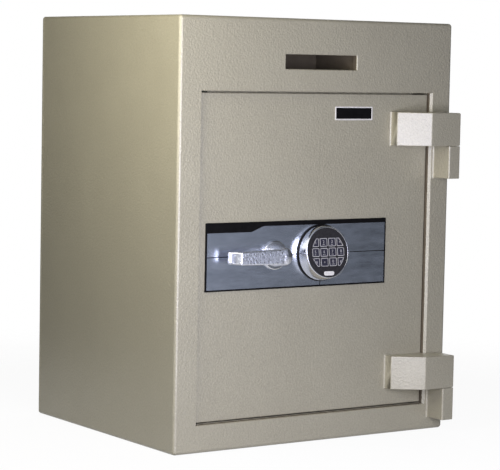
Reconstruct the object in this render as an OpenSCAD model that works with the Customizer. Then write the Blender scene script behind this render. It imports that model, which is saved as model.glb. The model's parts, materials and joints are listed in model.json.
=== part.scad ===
// Deposit safe: a welded steel cabinet with a letter slot, one recessed door on two outside
// hinges, a lever handle that throws three bolts, and an electronic keypad lock.
// Sizes are in millimetres. X runs to the right, Y to the back and Z up, and the origin is at
// the centre of the underside. The door is drawn closed and unlocked, with its lever level.

/* [Cabinet] */
// Width of the body
body_w = 500; // [460:5:640]
// Depth of the body, without the hinges and the handle
body_d = 410; // [320:5:520]
// Height of the body
body_h = 635; // [610:5:800]
// Wall of the tube that makes bottom, sides and top
shell_t = 6; // [4:0.5:10]
// Radius of the body's outer edges
edge_r = 5; // [3:0.5:7]
// Thickness of the front frame
front_t = 10; // [8:0.5:13]
// Thickness of the back plate
back_t = 6; // [4:0.5:10]
// Width of the front frame at each side of the door
side_rail_w = 38.5; // [36:0.5:50]
// Height of the front frame above the door
top_rail_h = 108.5; // [100:0.5:130]
// Height of the front frame below the door
bottom_rail_h = 41.5; // [36:0.5:60]
// Width of the bars behind the front frame, round the door
liner_w = 24; // [18:0.5:26]
// Thickness of the two bars that the closed door rests on
stop_t = 6; // [4:0.5:8]
// How far these bars reach into the door opening
stop_lap = 8; // [6:0.5:10]

/* [Floor anchors] */
// Diameter of the four holes in the bottom
anchor_d = 12; // [8:0.5:16]
// Distance between the holes from left to right
anchor_pitch_x = 300; // [200:5:400]
// Distance between the holes from front to back
anchor_pitch_y = 200; // [120:5:240]

/* [Deposit slot] */
// Width of the slot
slot_w = 130.5; // [90:0.5:200]
// Height of the slot
slot_h = 21.5; // [12:0.5:24]
// Height of the slot's middle above the door opening
slot_rise = 44.7; // [42:0.1:60]
// Sheet thickness of the chute
chute_t = 2; // [1:0.5:3]
// Room in the chute round the slot
chute_play = 2; // [1:0.5:3]
// Depth of the chute behind the front frame
chute_depth = 100; // [80:1:140]
// How far the chute's floor falls
chute_fall = 50; // [30:1:60]
// Width of the gap at the chute's lower end
chute_exit = 24; // [18:1:30]
// Sheet thickness of the toothed baffle
baffle_t = 1.5; // [1:0.5:2]
// Reach of the baffle's teeth
baffle_reach = 10; // [6:0.5:12]
// Height of the baffle
baffle_h = 16; // [10:1:20]

/* [Door] */
// Gap between door and frame, all round
door_gap = 2; // [1.8:0.1:3]
// How far the door lies behind the frame's face
door_recess = 8; // [6:0.5:10]
// Thickness of the door plate
door_t = 12; // [10:0.5:16]

/* [Hinges] */
// Distance from the body's right face to the hinge axis
axis_inset = 20.3; // [19:0.1:24]
// Distance from the frame's face to the hinge axis
axis_out = 21; // [20:0.1:24]
// How far the hinge blocks stand out from the frame's face
hinge_out = 37.5; // [35:0.5:40]
// Diameter of the hinge pins
pin_d = 12; // [8:0.5:14]
// Length of a pin in each block
pin_grip = 36; // [25:1:40]
// Running clearance of a pin in its strap, on the radius
pin_fit = 0.05; // [0.02:0.01:0.1]
// Width of a hinge block
knuckle_w = 21.5; // [18:0.5:24]
// Height of a hinge block on the frame
knuckle_h = 49.5; // [42:0.5:52]
// Height of a strap block on the door
strap_h = 51; // [42:0.5:60]
// Length of a strap block
strap_l = 100.8; // [85:0.1:120]
// Length of the flat front of a strap block
strap_flat = 56.4; // [45:0.1:65]
// Height of the thin end of a strap block above the door
strap_end = 15.2; // [10:0.1:20]
// Gap between a strap block and the frame's face
strap_clear = 1.5; // [1:0.1:3]
// Bevel at the back of a strap block's outer end
strap_bevel = 6.5; // [4:0.1:8]
// Gap between a block and its strap, which the washer fills
hinge_gap = 1; // [0.6:0.1:2]
// Distance from the door's top edge to the upper strap
upper_drop = 26.9; // [15:0.1:50]
// Distance from the door's bottom edge to the lower strap
lower_rise = 26.5; // [24:0.1:50]
// Leg of the weld beads
weld_leg = 4.4; // [3:0.1:4.4]

/* [Handle] */
// Distance from the door's left edge to the handle's axis
handle_inset = 134; // [125:0.5:150]
// Height of the handle's axis above the door's bottom edge
handle_rise = 241.5; // [230:0.5:260]
// Radius of the rose
rose_r = 21.5; // [20:0.5:26]
// Thickness of the rose
rose_t = 4; // [3:0.5:6]
// Radius of the lever's hub at the rose
hub_r = 16.5; // [14:0.1:19]
// Radius of the hub at its front
hub_front_r = 12.5; // [11:0.1:14]
// Height of the hub's dome
hub_dome = 2; // [1:0.5:4]
// How far the lever's front stands out from the trim plate
lever_out = 34; // [30:0.5:40]
// Distance from the axis to the lever's tip
lever_l = 91; // [75:0.5:110]
// Thickness of the lever's grip
lever_t = 14; // [11:0.5:16]
// Thickness of the lever's returned end
lever_end_t = 21; // [17:0.1:26]
// Slant of the lever's end face
lever_slant = 9; // [0:0.5:12]
// Length of the returned end
lever_end_l = 17; // [12:0.5:22]
// Height of the lever at its end
lever_end_h = 18; // [14:0.5:24]
// Height of the lever at its hub
lever_root_h = 24.5; // [20:0.5:26]
// Rounding of the lever's edges
lever_r = 3; // [1.5:0.5:5]
// Diameter of the spindle
spindle_d = 14; // [12:0.5:16]
// Side of the spindle's squares
square_w = 9.6; // [8:0.1:11]

/* [Keypad] */
// Distance between the axes of handle and keypad
keypad_pitch = 84.8; // [70:0.1:100]
// Height of the keypad's middle above the handle's axis
keypad_lift = 0.8; // [-3:0.1:5]
// Outer radius of the keypad's base
base_r = 43.2; // [42:0.1:46]
// Thickness of the keypad's base
base_t = 3; // [2:0.5:4]
// Outer radius of the housing at its front
rim_r = 39; // [37.5:0.1:40]
// Width of the bright rim round the face
rim_w = 2; // [1.5:0.1:3]
// Height of the face's middle above the trim plate
keypad_out = 19; // [17:0.1:22]
// Tilt of the keypad's face
keypad_tilt = 8; // [5:0.5:10]
// Draft of the housing's side
housing_draft = 3; // [0:0.5:4]
// Wall of the housing
housing_wall = 3; // [2:0.1:4]
// Thickness of the face
face_t = 3; // [2:0.5:3]
// How deep the face lies behind the rim
face_sink = 0.3; // [0.2:0.1:1.5]
// How far the keys stand out from the face
key_proud = 1.4; // [1.1:0.1:2]
// Travel of a key
key_travel = 1; // [0.6:0.1:1.2]
// Distance between the keys from left to right
key_pitch_x = 15.5; // [14:0.1:16]
// Distance between the keys from top to bottom
key_pitch_y = 14.8; // [13:0.1:15]
// Wall of the face between two keys
key_wall = 1.6; // [1.4:0.1:2.4]
// Radius that the corner keys are cut to
key_field_r = 30.5; // [29:0.1:33]
// Gap round a key in its hole
key_gap = 0.15; // [0.1:0.05:0.25]
// Distance from the face's middle down to the oval plate
oval_drop = 31.8; // [30:0.1:32.5]
// Length of the oval plate
oval_l = 19; // [14:0.5:24]
// Height of the oval plate
oval_h = 6.4; // [5:0.1:7]
// Distance from the face's middle up to the fine ridge
ridge_rise = 27; // [25:0.5:30]
// Length of the ridge
ridge_l = 30; // [20:0.5:34]

/* [Trim] */
// Length of the trim plate
trim_w = 329.4; // [320:0.1:335]
// Height of the trim plate
trim_h = 100.6; // [96:0.1:110]
// Distance from the trim plate's left end to the handle's axis
trim_left = 121.2; // [115:0.1:125]
// Distance from the trim plate's lower edge to the handle's axis
trim_low = 50.3; // [47:0.1:55]
// Thickness of the black carrier and of the bright sheet on it
trim_t = 1; // [0.5:0.1:1.5]
// Width of the black edge
border_w = 2.5; // [1.5:0.1:5]
// Width of the black band along the top
band_h = 6.7; // [5:0.1:8]
// Depth of the taller tab at the left of the band
tab_h = 14.9; // [10:0.1:20]
// Length of the tab, at its lower and its upper end
tab_l = [79.9, 101.2]; // [60:0.1:120]
// Width of the fine seams in the trim plate
seam_w = 1.2; // [0.4:0.1:2]
// Size of the small badge on the door
badge_size = [70.5, 20.5]; // [15:0.5:90]
// Distance from the door's middle to the badge's middle
badge_shift = 67.2; // [30:0.1:80]
// Distance from the door's top edge to the badge's middle
badge_drop = 29.3; // [18:0.1:40]
// Width of the badge's pale rim
badge_rim_w = 2; // [1:0.1:3]
// Thickness of the badge
badge_t = 1; // [0.6:0.1:1.4]

/* [Boltwork] */
// Diameter of the three bolts
bolt_d = 22; // [16:0.5:24]
// Travel of the bolts
bolt_throw = 22; // [18:0.5:24]
// Distance between the bolts
bolt_pitch = 150; // [120:5:160]
// Distance from the door's left edge to the drawn bolts
bolt_setback = 9.5; // [8.5:0.5:14]
// Gap between the door's back and the boltwork
work_gap = 2; // [1:0.5:4]
// Thickness of the bracket that guides the bolts
guide_t = 8; // [6:0.5:10]
// Clearance of the bolts in the bracket, on the radius
bolt_fit = 0.08; // [0.04:0.01:0.1]
// Width of the bar that joins the bolts
bar_w = 12; // [10:0.5:16]
// Length of that bar past the outer bolts
bar_over = 14; // [12:0.5:24]
// Thickness of the arm that pulls the bar
arm_t = 5; // [4:0.5:6]
// Diameter of the bolts' screws
screw_d = 8; // [6:0.5:10]
// Length of these screws in the bolts
screw_grip = 12; // [8:0.5:20]
// Radius of the cam disc
cam_r = 30; // [28:0.5:34]
// Thickness of the cam disc
cam_t = 8; // [6:0.5:10]
// Diameter of the cam's drive pin
drive_d = 8; // [6:0.5:9]
// Clearance of the drive pin in the arm's slot, on each side
drive_play = 0.4; // [0.3:0.05:0.6]
// Turn of the handle
handle_turn = 60; // [56:1:66]

/* [Lock] */
// Distance between the handle's axis and the swing bolt's pivot, sideways
swing_x_off = 59; // [55:0.5:66]
// Depth of that pivot below the handle's axis
swing_drop = 27; // [25:0.5:30]
// Reach of the swing bolt
swing_r = 31; // [29:0.5:32]
// Angle that the swing bolt fills
swing_fill = 36; // [25:1:45]
// Turn of the swing bolt
swing_turn = 57.3; // [54:0.1:62]
// Thickness of the swing bolt
swing_t = 8; // [6:0.5:9]
// Diameter of the swing bolt's pivot
pivot_d = 6; // [4:0.5:7]
// Clearance on the pivot, on the radius
pivot_fit = 0.06; // [0.03:0.01:0.1]
// Width of the lock case
case_w = 61; // [56:0.5:70]
// Height of the lock case
case_h = 58; // [52:0.5:66]
// Wall of the lock case
case_wall = 2; // [1.5:0.1:2.5]
// Thickness of the lock's cover
case_lid = 2; // [1:0.5:3]

/* [Door cover] */
// Sheet thickness of the cover
cover_t = 1.5; // [1:0.1:2]
// Depth of the cover
cover_d = 42; // [40.5:0.5:50]
// Distance from the door's top and bottom edges to the cover
cover_inset = 12.5; // [11.5:0.5:25]
// Diameter of the posts that carry the cover
post_d = 12; // [9:0.5:16]
// Length of the cover's screws in the posts
post_grip = 10; // [6:0.5:14]
// How far the dog bar reaches behind the frame
dog_lap = 6.5; // [5:0.5:7]
// Thickness of the dog bar's hook
dog_t = 8; // [6:0.5:10]
// Gap between the dog bar's hook and the frame
dog_gap = 3.5; // [3:0.1:5]
// Width of the dog bar's seat on the door
dog_seat = 15; // [12:0.5:20]

/* [Hidden] */
$fn = 64;
FAR = 2;

paint = [0.62, 0.60, 0.54];
bright = [0.55, 0.57, 0.60];
chrome = [0.80, 0.81, 0.83];
black = [0.06, 0.06, 0.065];
zinc = [0.66, 0.67, 0.66];
pale = [0.85, 0.85, 0.82];
bronze = [0.72, 0.55, 0.30];
primer = [0.15, 0.14, 0.12];

// Door opening and door, from the body's front left bottom corner
open_l = side_rail_w;
open_r = body_w - side_rail_w;
open_b = bottom_rail_h;
open_top = body_h - top_rail_h;
door_l = open_l + door_gap;
door_r = open_r - door_gap;
door_b = open_b + door_gap;
door_top = open_top - door_gap;
door_back = door_recess + door_t;

// Slot and chute
slot_z = open_top + slot_rise;
chute_low = slot_z - slot_h / 2 - chute_play - chute_t;
chute_top = slot_z + slot_h / 2 + chute_play + chute_t;
chute_y1 = front_t + chute_depth;
chute_lip = 4;
chute_flat_y = door_back + stop_t + 1;

// Hinge axis and blocks
axis_x = body_w - axis_inset;
strap_r = axis_x + knuckle_w / 2;
strap_left = strap_r - strap_l;
upper_z = door_top - upper_drop - strap_h;
lower_z = door_b + lower_rise;
washer_play = 0.1;
weld_arm = 10;
washer_t = hinge_gap - washer_play;
washer_d = knuckle_w - 2;

// Trim plate, handle and keypad
handle_x = door_l + handle_inset;
handle_z = door_b + handle_rise;
trim_l = handle_x - trim_left;
trim_b = handle_z - trim_low;
trim_front = door_recess - 2 * trim_t;
keypad_x = handle_x + keypad_pitch;
keypad_z = handle_z + keypad_lift;
keypad_y = trim_front - keypad_out;
face_z = keypad_z + (keypad_out - base_t) * tan(keypad_tilt);
face_r = rim_r - rim_w;
seat = 0.05;
run_gap = 0.3;
hub_y = trim_front - rose_t - run_gap;
bush_d = spindle_d + 6;
base_front = trim_front - base_t;
keypad_screw_xs = [keypad_x - base_r + 13, keypad_x + base_r - 13];
keypad_screw_y1 = door_recess + door_t / 2;
flare = tan(housing_draft);
badge_mid = [(door_l + door_r) / 2 + badge_shift, door_top - badge_drop];
badge_lo = badge_mid - badge_size / 2;
badge_hi = badge_mid + badge_size / 2;
lever_front = trim_front - lever_out;
square_play = 0.1;
tap_room = 2;

// Keys, in the plane of the keypad's face with Z outwards
key_w = key_pitch_x - key_wall;
key_h = key_pitch_y - key_wall;
ledge_r = key_field_r + 0.5;
ledge_t = 1.2;
ridge_w = 0.8;
key_r = 1.2;
key_front = key_proud - face_sink;
key_back = -face_sink - face_t - 0.4;
board_front = key_back - key_travel - 0.2;
board_r = rim_r - housing_wall - 1;
board_t = 1.2;
board_w = 3.3 * key_pitch_x;
board_h = 3.1 * key_pitch_y;
rib_t = 1;

// Boltwork
bolt_y = door_back + work_gap + bolt_d / 2;
bolt_tip = door_l + bolt_setback;
tip_show = 1;
guide_x = bolt_tip + tip_show;
cover_l = guide_x + guide_t;
bar_play = 1.5;
bar_x = cover_l + cover_t + bar_play + bolt_throw;
bolt_l = bar_x - bolt_tip;
bar_y0 = door_back + work_gap;
bar_y1 = bar_y0 + bolt_d;
bar_z0 = handle_z - bolt_pitch - bolt_d / 2 - bar_over;
bar_z1 = handle_z + bolt_pitch + bolt_d / 2 + bar_over;
bolt_rows = [-bolt_pitch, 0, bolt_pitch];
drive_r = bolt_throw / 2 / sin(handle_turn / 2);
drive_z0 = handle_z + drive_r * cos(handle_turn / 2);
drive_z1 = handle_z + drive_r;
drive_x = handle_x + bolt_throw / 2;
cam_y1 = bar_y1 - work_gap;
cam_y0 = cam_y1 - cam_t;
arm_y1 = bar_y1 + arm_t;
arm_z0 = handle_z + spindle_d / 2 + 2;
arm_z1 = drive_z1 + drive_d / 2 + drive_play + 8.6;

// Lock
swing_x = handle_x + swing_x_off;
swing_z = handle_z - swing_drop;
swing_y0 = bar_y1 - 1;
swing_hub_r = 6;
lock_play = 0.5;
tab_x1 = swing_x - lock_play + bolt_throw;
tab_w = 14.5;
case_x = swing_x - 9;
case_z1 = swing_z + 20;
case_z0 = case_z1 - case_h;
tab_z0 = case_z1 + 2;
case_y1 = swing_y0 + swing_t + 3;
motor_gap = 2;
cable_d = 5;
cable_z = case_z1 - 8;
lock_screw_d = 4;

// Cover, posts and dog bar
cover_z0 = door_b + cover_inset;
cover_z1 = door_top - cover_inset;
cover_y1 = door_back + cover_d;
hook_x = open_r + dog_lap;
dog_seat_x1 = door_r - 3.5;
dog_x0 = dog_seat_x1 - dog_seat;
cover_r = dog_x0 - 2;
post_in = 20;
post_xs = [cover_l + cover_t + post_in + 40, cover_r - cover_t - post_in];
post_zs = [cover_z0 + cover_t + post_in, cover_z1 - cover_t - post_in];

// Battery, a block of the common 48 x 26 x 17 mm size
battery = [26.5, 17.5, 48.5];
clip_t = 1;
battery_x = case_x + case_w + 12;
battery_z = case_z0 + 5;

// Moves what is drawn from the body's front left bottom corner into the part's frame
module from_corner() {
    translate([-body_w / 2, -body_d / 2, 0]) children();
}

// A block between two corners
module block(lo, hi) {
    translate(lo) cube(hi - lo);
}

// A round bar along Y, at x and z
module rod_y(d, x, z, y0, y1) {
    translate([x, y0, z]) rotate([-90, 0, 0]) cylinder(h = y1 - y0, d = d);
}

// A round bar along X, at y and z
module rod_x(d, y, z, x0, x1) {
    translate([x0, y, z]) rotate([0, 90, 0]) cylinder(h = x1 - x0, d = d);
}

// A round bar along Z, at x and y
module rod_z(d, x, y, z0, z1) {
    translate([x, y, z0]) cylinder(h = z1 - z0, d = d);
}

// A flat outline drawn in X and Z, given a thickness along Y
module plate_y(y0, y1) {
    translate([0, y1, 0]) rotate([90, 0, 0]) linear_extrude(y1 - y0) children();
}

// A rectangle with round corners, all exact arcs
module round_rect(lo, hi, r) {
    translate([lo.x + r, lo.y]) square([hi.x - lo.x - 2 * r, hi.y - lo.y]);
    translate([lo.x, lo.y + r]) square([hi.x - lo.x, hi.y - lo.y - 2 * r]);
    for (x = [lo.x + r, hi.x - r], z = [lo.y + r, hi.y - r]) translate([x, z]) circle(r);
}

// A cylinder head screw along Y whose head starts at y0 and whose shank ends at y1
module screw_y(d, x, z, y0, y1, head_t) {
    rod_y(1.8 * d, x, z, y0 - head_t, y0);
    rod_y(d, x, z, y0 - FAR / 4, y1);
}

// Holes in the bottom for floor anchors
module anchor_holes() {
    for (x = [-1, 1] * anchor_pitch_x / 2, y = [-1, 1] * anchor_pitch_y / 2)
        rod_z(anchor_d, body_w / 2 + x, body_d / 2 + y, -FAR, shell_t + FAR);
}

// Tube that makes bottom, sides and top
module cabinet_shell() {
    color(paint) from_corner() difference() {
        plate_y(front_t, body_d - back_t) round_rect([0, 0], [body_w, body_h], edge_r);
        block([shell_t, 0, shell_t], [body_w - shell_t, body_d, body_h - shell_t]);
        anchor_holes();
    }
}

// Plate that closes the back
module back_plate() {
    color(paint) from_corner() plate_y(body_d - back_t, body_d)
        round_rect([0, 0], [body_w, body_h], edge_r);
}

// Front plate with rounded outer edges
module front_slab() {
    plate_y(edge_r, front_t) round_rect([0, 0], [body_w, body_h], edge_r);
    plate_y(0, edge_r + FAR / 4) translate([edge_r, edge_r])
        square([body_w - 2 * edge_r, body_h - 2 * edge_r]);
    for (z = [edge_r, body_h - edge_r]) rod_x(2 * edge_r, edge_r, z, edge_r, body_w - edge_r);
    for (x = [edge_r, body_w - edge_r]) rod_z(2 * edge_r, x, edge_r, edge_r, body_h - edge_r);
    for (x = [edge_r, body_w - edge_r], z = [edge_r, body_h - edge_r])
        translate([x, edge_r, z]) sphere(edge_r);
}

// Front plate with the door opening and the deposit slot
module front_frame() {
    color(paint) from_corner() difference() {
        intersection() {
            front_slab();
            block([0, 0, 0], [body_w, front_t, body_h]);
        }
        block([open_l, -FAR, open_b], [open_r, front_t + FAR, open_top]);
        block([body_w / 2 - slot_w / 2, -FAR, slot_z - slot_h / 2],
              [body_w / 2 + slot_w / 2, front_t + FAR, slot_z + slot_h / 2]);
    }
}

// Ring of bars behind the front plate
module jamb_liner() {
    color(paint) from_corner() difference() {
        block([open_l - liner_w, front_t, open_b - liner_w],
              [open_r + liner_w, door_back, open_top + liner_w]);
        block([open_l, front_t - FAR, open_b], [open_r, door_back + FAR, open_top]);
    }
}

// One stop bar: seated on the liner, and relieved where the door meets it
module door_stop(edge, inward) {
    z = [edge - inward * (liner_w - 4), edge, edge + inward * stop_lap];
    translate([door_l + 20, 0, 0]) rotate([90, 0, 90]) linear_extrude(door_r - door_l - 40)
        polygon([
            [door_back, z[0]], [door_back, z[1]], [door_back + run_gap, z[1]],
            [door_back + run_gap, z[2]], [door_back + stop_t, z[2]], [door_back + stop_t, z[0]]
        ]);
}

// Two bars that the closed door rests on
module door_stops() {
    color(paint) from_corner() {
        door_stop(open_b, 1);
        door_stop(open_top, -1);
    }
}

// Side view of the chute, drawn in Y and Z, smaller by the sheet when inset is chute_t
module chute_outline(inset) {
    drop_y = chute_y1 - chute_exit - chute_t;
    exit_z = chute_low - chute_fall - chute_lip;
    end = inset == 0 ? 0 : FAR;
    polygon([
        [front_t - end, chute_low + inset],
        [chute_flat_y, chute_low + inset],
        [drop_y + inset, chute_low - chute_fall + inset],
        [drop_y + inset, exit_z - end],
        [chute_y1 - inset, exit_z - end],
        [chute_y1 - inset, chute_top - inset],
        [front_t - end, chute_top - inset]
    ]);
}

// Sheet duct that leads from the slot down into the safe
module deposit_chute() {
    half = slot_w / 2 + chute_play + chute_t;
    color(primer) from_corner() difference() {
        translate([body_w / 2 - half, 0, 0]) rotate([90, 0, 90]) linear_extrude(2 * half)
            chute_outline(0);
        translate([body_w / 2 - half + chute_t, 0, 0]) rotate([90, 0, 90])
            linear_extrude(2 * (half - chute_t)) chute_outline(chute_t);
    }
}

// Toothed angle on the chute's back wall, against reaching in
module fishing_baffle() {
    half = slot_w / 2 + chute_play - 2;
    teeth = floor(2 * half / 10);
    step = 2 * half / teeth;
    wall_y = chute_y1 - chute_t;
    low = chute_low - chute_fall + 6;
    top = low + baffle_h;
    color(primer) from_corner() {
        block([body_w / 2 - half, wall_y - baffle_t, low], [body_w / 2 + half, wall_y, top]);
        translate([body_w / 2 - half, wall_y, low]) linear_extrude(baffle_t) polygon(concat(
            [[2 * half, -baffle_t / 2], [0, -baffle_t / 2]],
            [for (i = [0:2 * teeth]) [
                i * step / 2,
                i % 2 == 0 ? -baffle_reach / 2 : -baffle_reach
            ]]
        ));
    }
}

// Weld bead along Z, from x to the given side of a wall that stands on a face at y
module bead_z(x, y, z0, z1, side) {
    translate([0, 0, z0]) linear_extrude(z1 - z0)
        polygon([[x, y], [x + side * weld_leg, y], [x, y - weld_leg]]);
}

// Weld bead along X, above or below a wall that stands on a face at y
module bead_x(y, z, x0, x1, side) {
    translate([x0, 0, 0]) rotate([90, 0, 90]) linear_extrude(x1 - x0)
        polygon([[y, z], [y, z + side * weld_leg], [y - weld_leg, z]]);
}

// Mitred corner where two beads meet
module bead_corner(x, y, z, side_x, side_z) {
    intersection() {
        bead_z(x, y, z - 2 * weld_leg, z + 2 * weld_leg, side_x);
        bead_x(y, z, x - 2 * weld_leg, x + 2 * weld_leg, side_z);
    }
}

// Hinge block on the frame, with the pin's blind bore in its top
module knuckle(top) {
    x0 = axis_x - knuckle_w / 2;
    x1 = x0 + knuckle_w;
    low = top - knuckle_h;
    color(paint) from_corner() {
        difference() {
            block([x0, -hinge_out, low], [x1, 0, top]);
            rod_z(pin_d + 2 * seat, axis_x, -axis_out, top - pin_grip, top + FAR);
        }
        bead_z(x0, 0, low, top, -1);
        bead_z(x1, 0, low, top, 1);
        bead_x(0, low, x0, x1, -1);
        bead_corner(x0, 0, low, -1, -1);
        bead_corner(x1, 0, low, 1, -1);
    }
}

module knuckle_upper() {
    knuckle(upper_z - hinge_gap);
}

module knuckle_lower() {
    knuckle(lower_z - hinge_gap);
}

// Both hinge pins, seated in the blocks on the frame
module hinge_pins() {
    color(zinc) from_corner() for (z = [upper_z, lower_z])
        rod_z(pin_d, axis_x, -axis_out, z - hinge_gap - pin_grip, z + pin_grip);
}

// Washers that carry the straps
module thrust_washers() {
    color(zinc) from_corner() for (z = [upper_z, lower_z]) difference() {
        rod_z(washer_d, axis_x, -axis_out, z - hinge_gap, z - hinge_gap + washer_t);
        rod_z(pin_d + 2 * seat, axis_x, -axis_out, z - hinge_gap - FAR, z + FAR);
    }
}

// Strap seen from above: seated on the door, slanted up to a flat front
module strap_plan() {
    polygon([
        [strap_left, door_recess],
        [strap_left, door_recess - strap_end],
        [strap_r - strap_flat, -hinge_out],
        [strap_r, -hinge_out],
        [strap_r, -strap_clear - strap_bevel],
        [strap_r - strap_bevel, -strap_clear],
        [door_r, -strap_clear],
        [door_r, door_recess]
    ]);
}

// Strap block, welded on the door, with the pin's blind bore in its underside
module strap(low) {
    top = low + strap_h;
    arm = strap_left + weld_arm;
    color(paint) from_corner() {
        difference() {
            translate([0, 0, low]) linear_extrude(strap_h) strap_plan();
            rod_z(pin_d + 2 * pin_fit, axis_x, -axis_out, low - FAR, low + pin_grip + 1);
        }
        bead_z(strap_left, door_recess, low, top, -1);
        bead_x(door_recess, top, strap_left, arm, 1);
        bead_x(door_recess, low, strap_left, arm, -1);
        bead_corner(strap_left, door_recess, top, -1, 1);
        bead_corner(strap_left, door_recess, low, -1, -1);
    }
}

module strap_upper() {
    strap(upper_z);
}

module strap_lower() {
    strap(lower_z);
}

// Door plate, bored for the spindle's bush and the lock's cable
module door_plate() {
    color(paint) from_corner() difference() {
        block([door_l, door_recess, door_b], [door_r, door_back, door_top]);
        rod_y(bush_d + 2 * seat, handle_x, handle_z, 0, door_back + FAR);
        rod_y(cable_d + 1, keypad_x, cable_z, 0, door_back + FAR);
        for (x = keypad_screw_xs) rod_y(lock_screw_d + 2 * seat, x, keypad_z, 0, keypad_screw_y1);
    }
}

// Bar on the hinge side that hooks behind the frame
module dog_bar() {
    z0 = cover_z0 + 24;
    z1 = cover_z1 - 24;
    back = door_back + dog_gap + dog_t;
    color(zinc) from_corner() translate([0, 0, z0]) linear_extrude(z1 - z0) polygon([
        [dog_x0, door_back], [dog_seat_x1, door_back], [dog_seat_x1, door_back + dog_gap],
        [hook_x, door_back + dog_gap], [hook_x, back], [dog_x0, back]
    ]);
}

// Bored bracket that guides the three bolts
module bolt_guide() {
    color(zinc) from_corner() difference() {
        block([guide_x, door_back, bar_z0], [guide_x + guide_t, bar_y1 + 4, bar_z1]);
        for (z = bolt_rows)
            rod_x(bolt_d + 2 * bolt_fit, bolt_y, handle_z + z, guide_x - FAR, cover_l + FAR);
    }
}

// Open box of the lock, with the swing bolt's pivot and a window in its top
module lock_case() {
    inner = [case_x + case_wall, door_back + case_wall, case_z0 + case_wall];
    color(zinc) from_corner() difference() {
        union() {
            difference() {
                block([case_x, door_back, case_z0], [case_x + case_w, case_y1, case_z1]);
                block(inner, [case_x + case_w - case_wall, case_y1 + FAR, case_z1 - case_wall]);
            }
            rod_y(pivot_d, swing_x, swing_z, door_back + case_wall, case_y1);
            rod_y(2 * swing_hub_r, swing_x, swing_z, door_back + case_wall, swing_y0 - 0.1);
            for (p = lock_screw_spots())
                rod_y(2 * lock_screw_d, p.x, p.y, door_back + case_wall, case_y1);
        }
        block([swing_x - 3, swing_y0 - 1, case_z1 - case_wall - FAR],
              [swing_x + swing_r, swing_y0 + swing_t + 1, case_z1 + FAR]);
        rod_y(cable_d + 1, keypad_x, cable_z, 0, door_back + case_wall + FAR);
        for (p = lock_screw_spots())
            rod_y(lock_screw_d + 2 * seat, p.x, p.y, case_y1 - 12, case_y1 + FAR);
    }
}

// Places of the screws that hold the lock's cover
function lock_screw_spots() = [
    for (x = [case_x + case_wall + 3.5, case_x + case_w - case_wall - 3.5])
        [x, case_z0 + case_wall + 3.5]
];

// Cover of the lock case
module lock_cover() {
    color(zinc) from_corner() difference() {
        block([case_x, case_y1, case_z0], [case_x + case_w, case_y1 + case_lid, case_z1]);
        for (p = lock_screw_spots())
            rod_y(lock_screw_d + 2 * seat, p.x, p.y, case_y1 - FAR, case_y1 + case_lid + FAR);
    }
}

// Motor and circuit of the lock, in one block on the case's floor
module lock_motor() {
    x0 = swing_x + swing_hub_r + motor_gap + 3;
    x1 = case_x + case_w - case_wall - motor_gap;
    y0 = door_back + case_wall;
    z1 = case_z1 - case_wall - motor_gap;
    z0 = case_z0 + case_wall + 2 * lock_screw_d + motor_gap;
    color(black) from_corner() block([x0, y0, z0], [x1, swing_y0 - 2, z1]);
}

// Screws of the lock's cover
module lock_screws() {
    color(zinc) from_corner() for (p = lock_screw_spots()) {
        rod_y(1.8 * lock_screw_d, p.x, p.y, case_y1 + case_lid, case_y1 + case_lid + 2);
        rod_y(lock_screw_d, p.x, p.y, case_y1 - 10, case_y1 + case_lid + 1);
    }
}

// Sheet cover over the boltwork, with holes for bolts and post screws
module door_cover() {
    color(zinc) from_corner() difference() {
        block([cover_l, door_back, cover_z0], [cover_r, cover_y1, cover_z1]);
        block([cover_l + cover_t, door_back - FAR, cover_z0 + cover_t],
              [cover_r - cover_t, cover_y1 - cover_t, cover_z1 - cover_t]);
        for (z = bolt_rows)
            rod_x(bolt_d + 2, bolt_y, handle_z + z, cover_l - FAR, cover_l + cover_t + FAR);
        for (x = post_xs, z = post_zs)
            rod_y(lock_screw_d + 0.4, x, z, cover_y1 - cover_t - FAR, cover_y1 + FAR);
    }
}

// Four posts between door and cover, tapped at their end
module cover_standoffs() {
    color(zinc) from_corner() for (x = post_xs, z = post_zs) difference() {
        rod_y(post_d, x, z, door_back, cover_y1 - cover_t);
        rod_y(lock_screw_d + 2 * seat, x, z, cover_y1 - cover_t - post_grip - tap_room, cover_y1);
    }
}

// Screws of the cover
module cover_screws() {
    color(zinc) from_corner() for (x = post_xs, z = post_zs) {
        rod_y(1.8 * lock_screw_d, x, z, cover_y1, cover_y1 + 2);
        rod_y(lock_screw_d, x, z, cover_y1 - cover_t - post_grip, cover_y1 + 1);
    }
}

// Holes through the trim for the spindle and the cable
module trim_holes() {
    rod_y(bush_d + 1, handle_x, handle_z, trim_front - FAR, door_recess + FAR);
    rod_y(cable_d + 1, keypad_x, cable_z, trim_front - FAR, door_recess + FAR);
    for (x = keypad_screw_xs)
        rod_y(lock_screw_d + 2 * seat, x, keypad_z, trim_front - FAR, door_recess + FAR);
}

// Outline of the bright sheet, with the black tab's step at its upper left
module trim_face_outline() {
    x0 = trim_l + border_w;
    x1 = trim_l + trim_w - border_w;
    z1 = trim_b + trim_h;
    polygon([
        [x0, trim_b + border_w], [x1, trim_b + border_w], [x1, z1 - band_h],
        [trim_l + tab_l[1], z1 - band_h], [trim_l + tab_l[0], z1 - tab_h], [x0, z1 - tab_h]
    ]);
}

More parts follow.
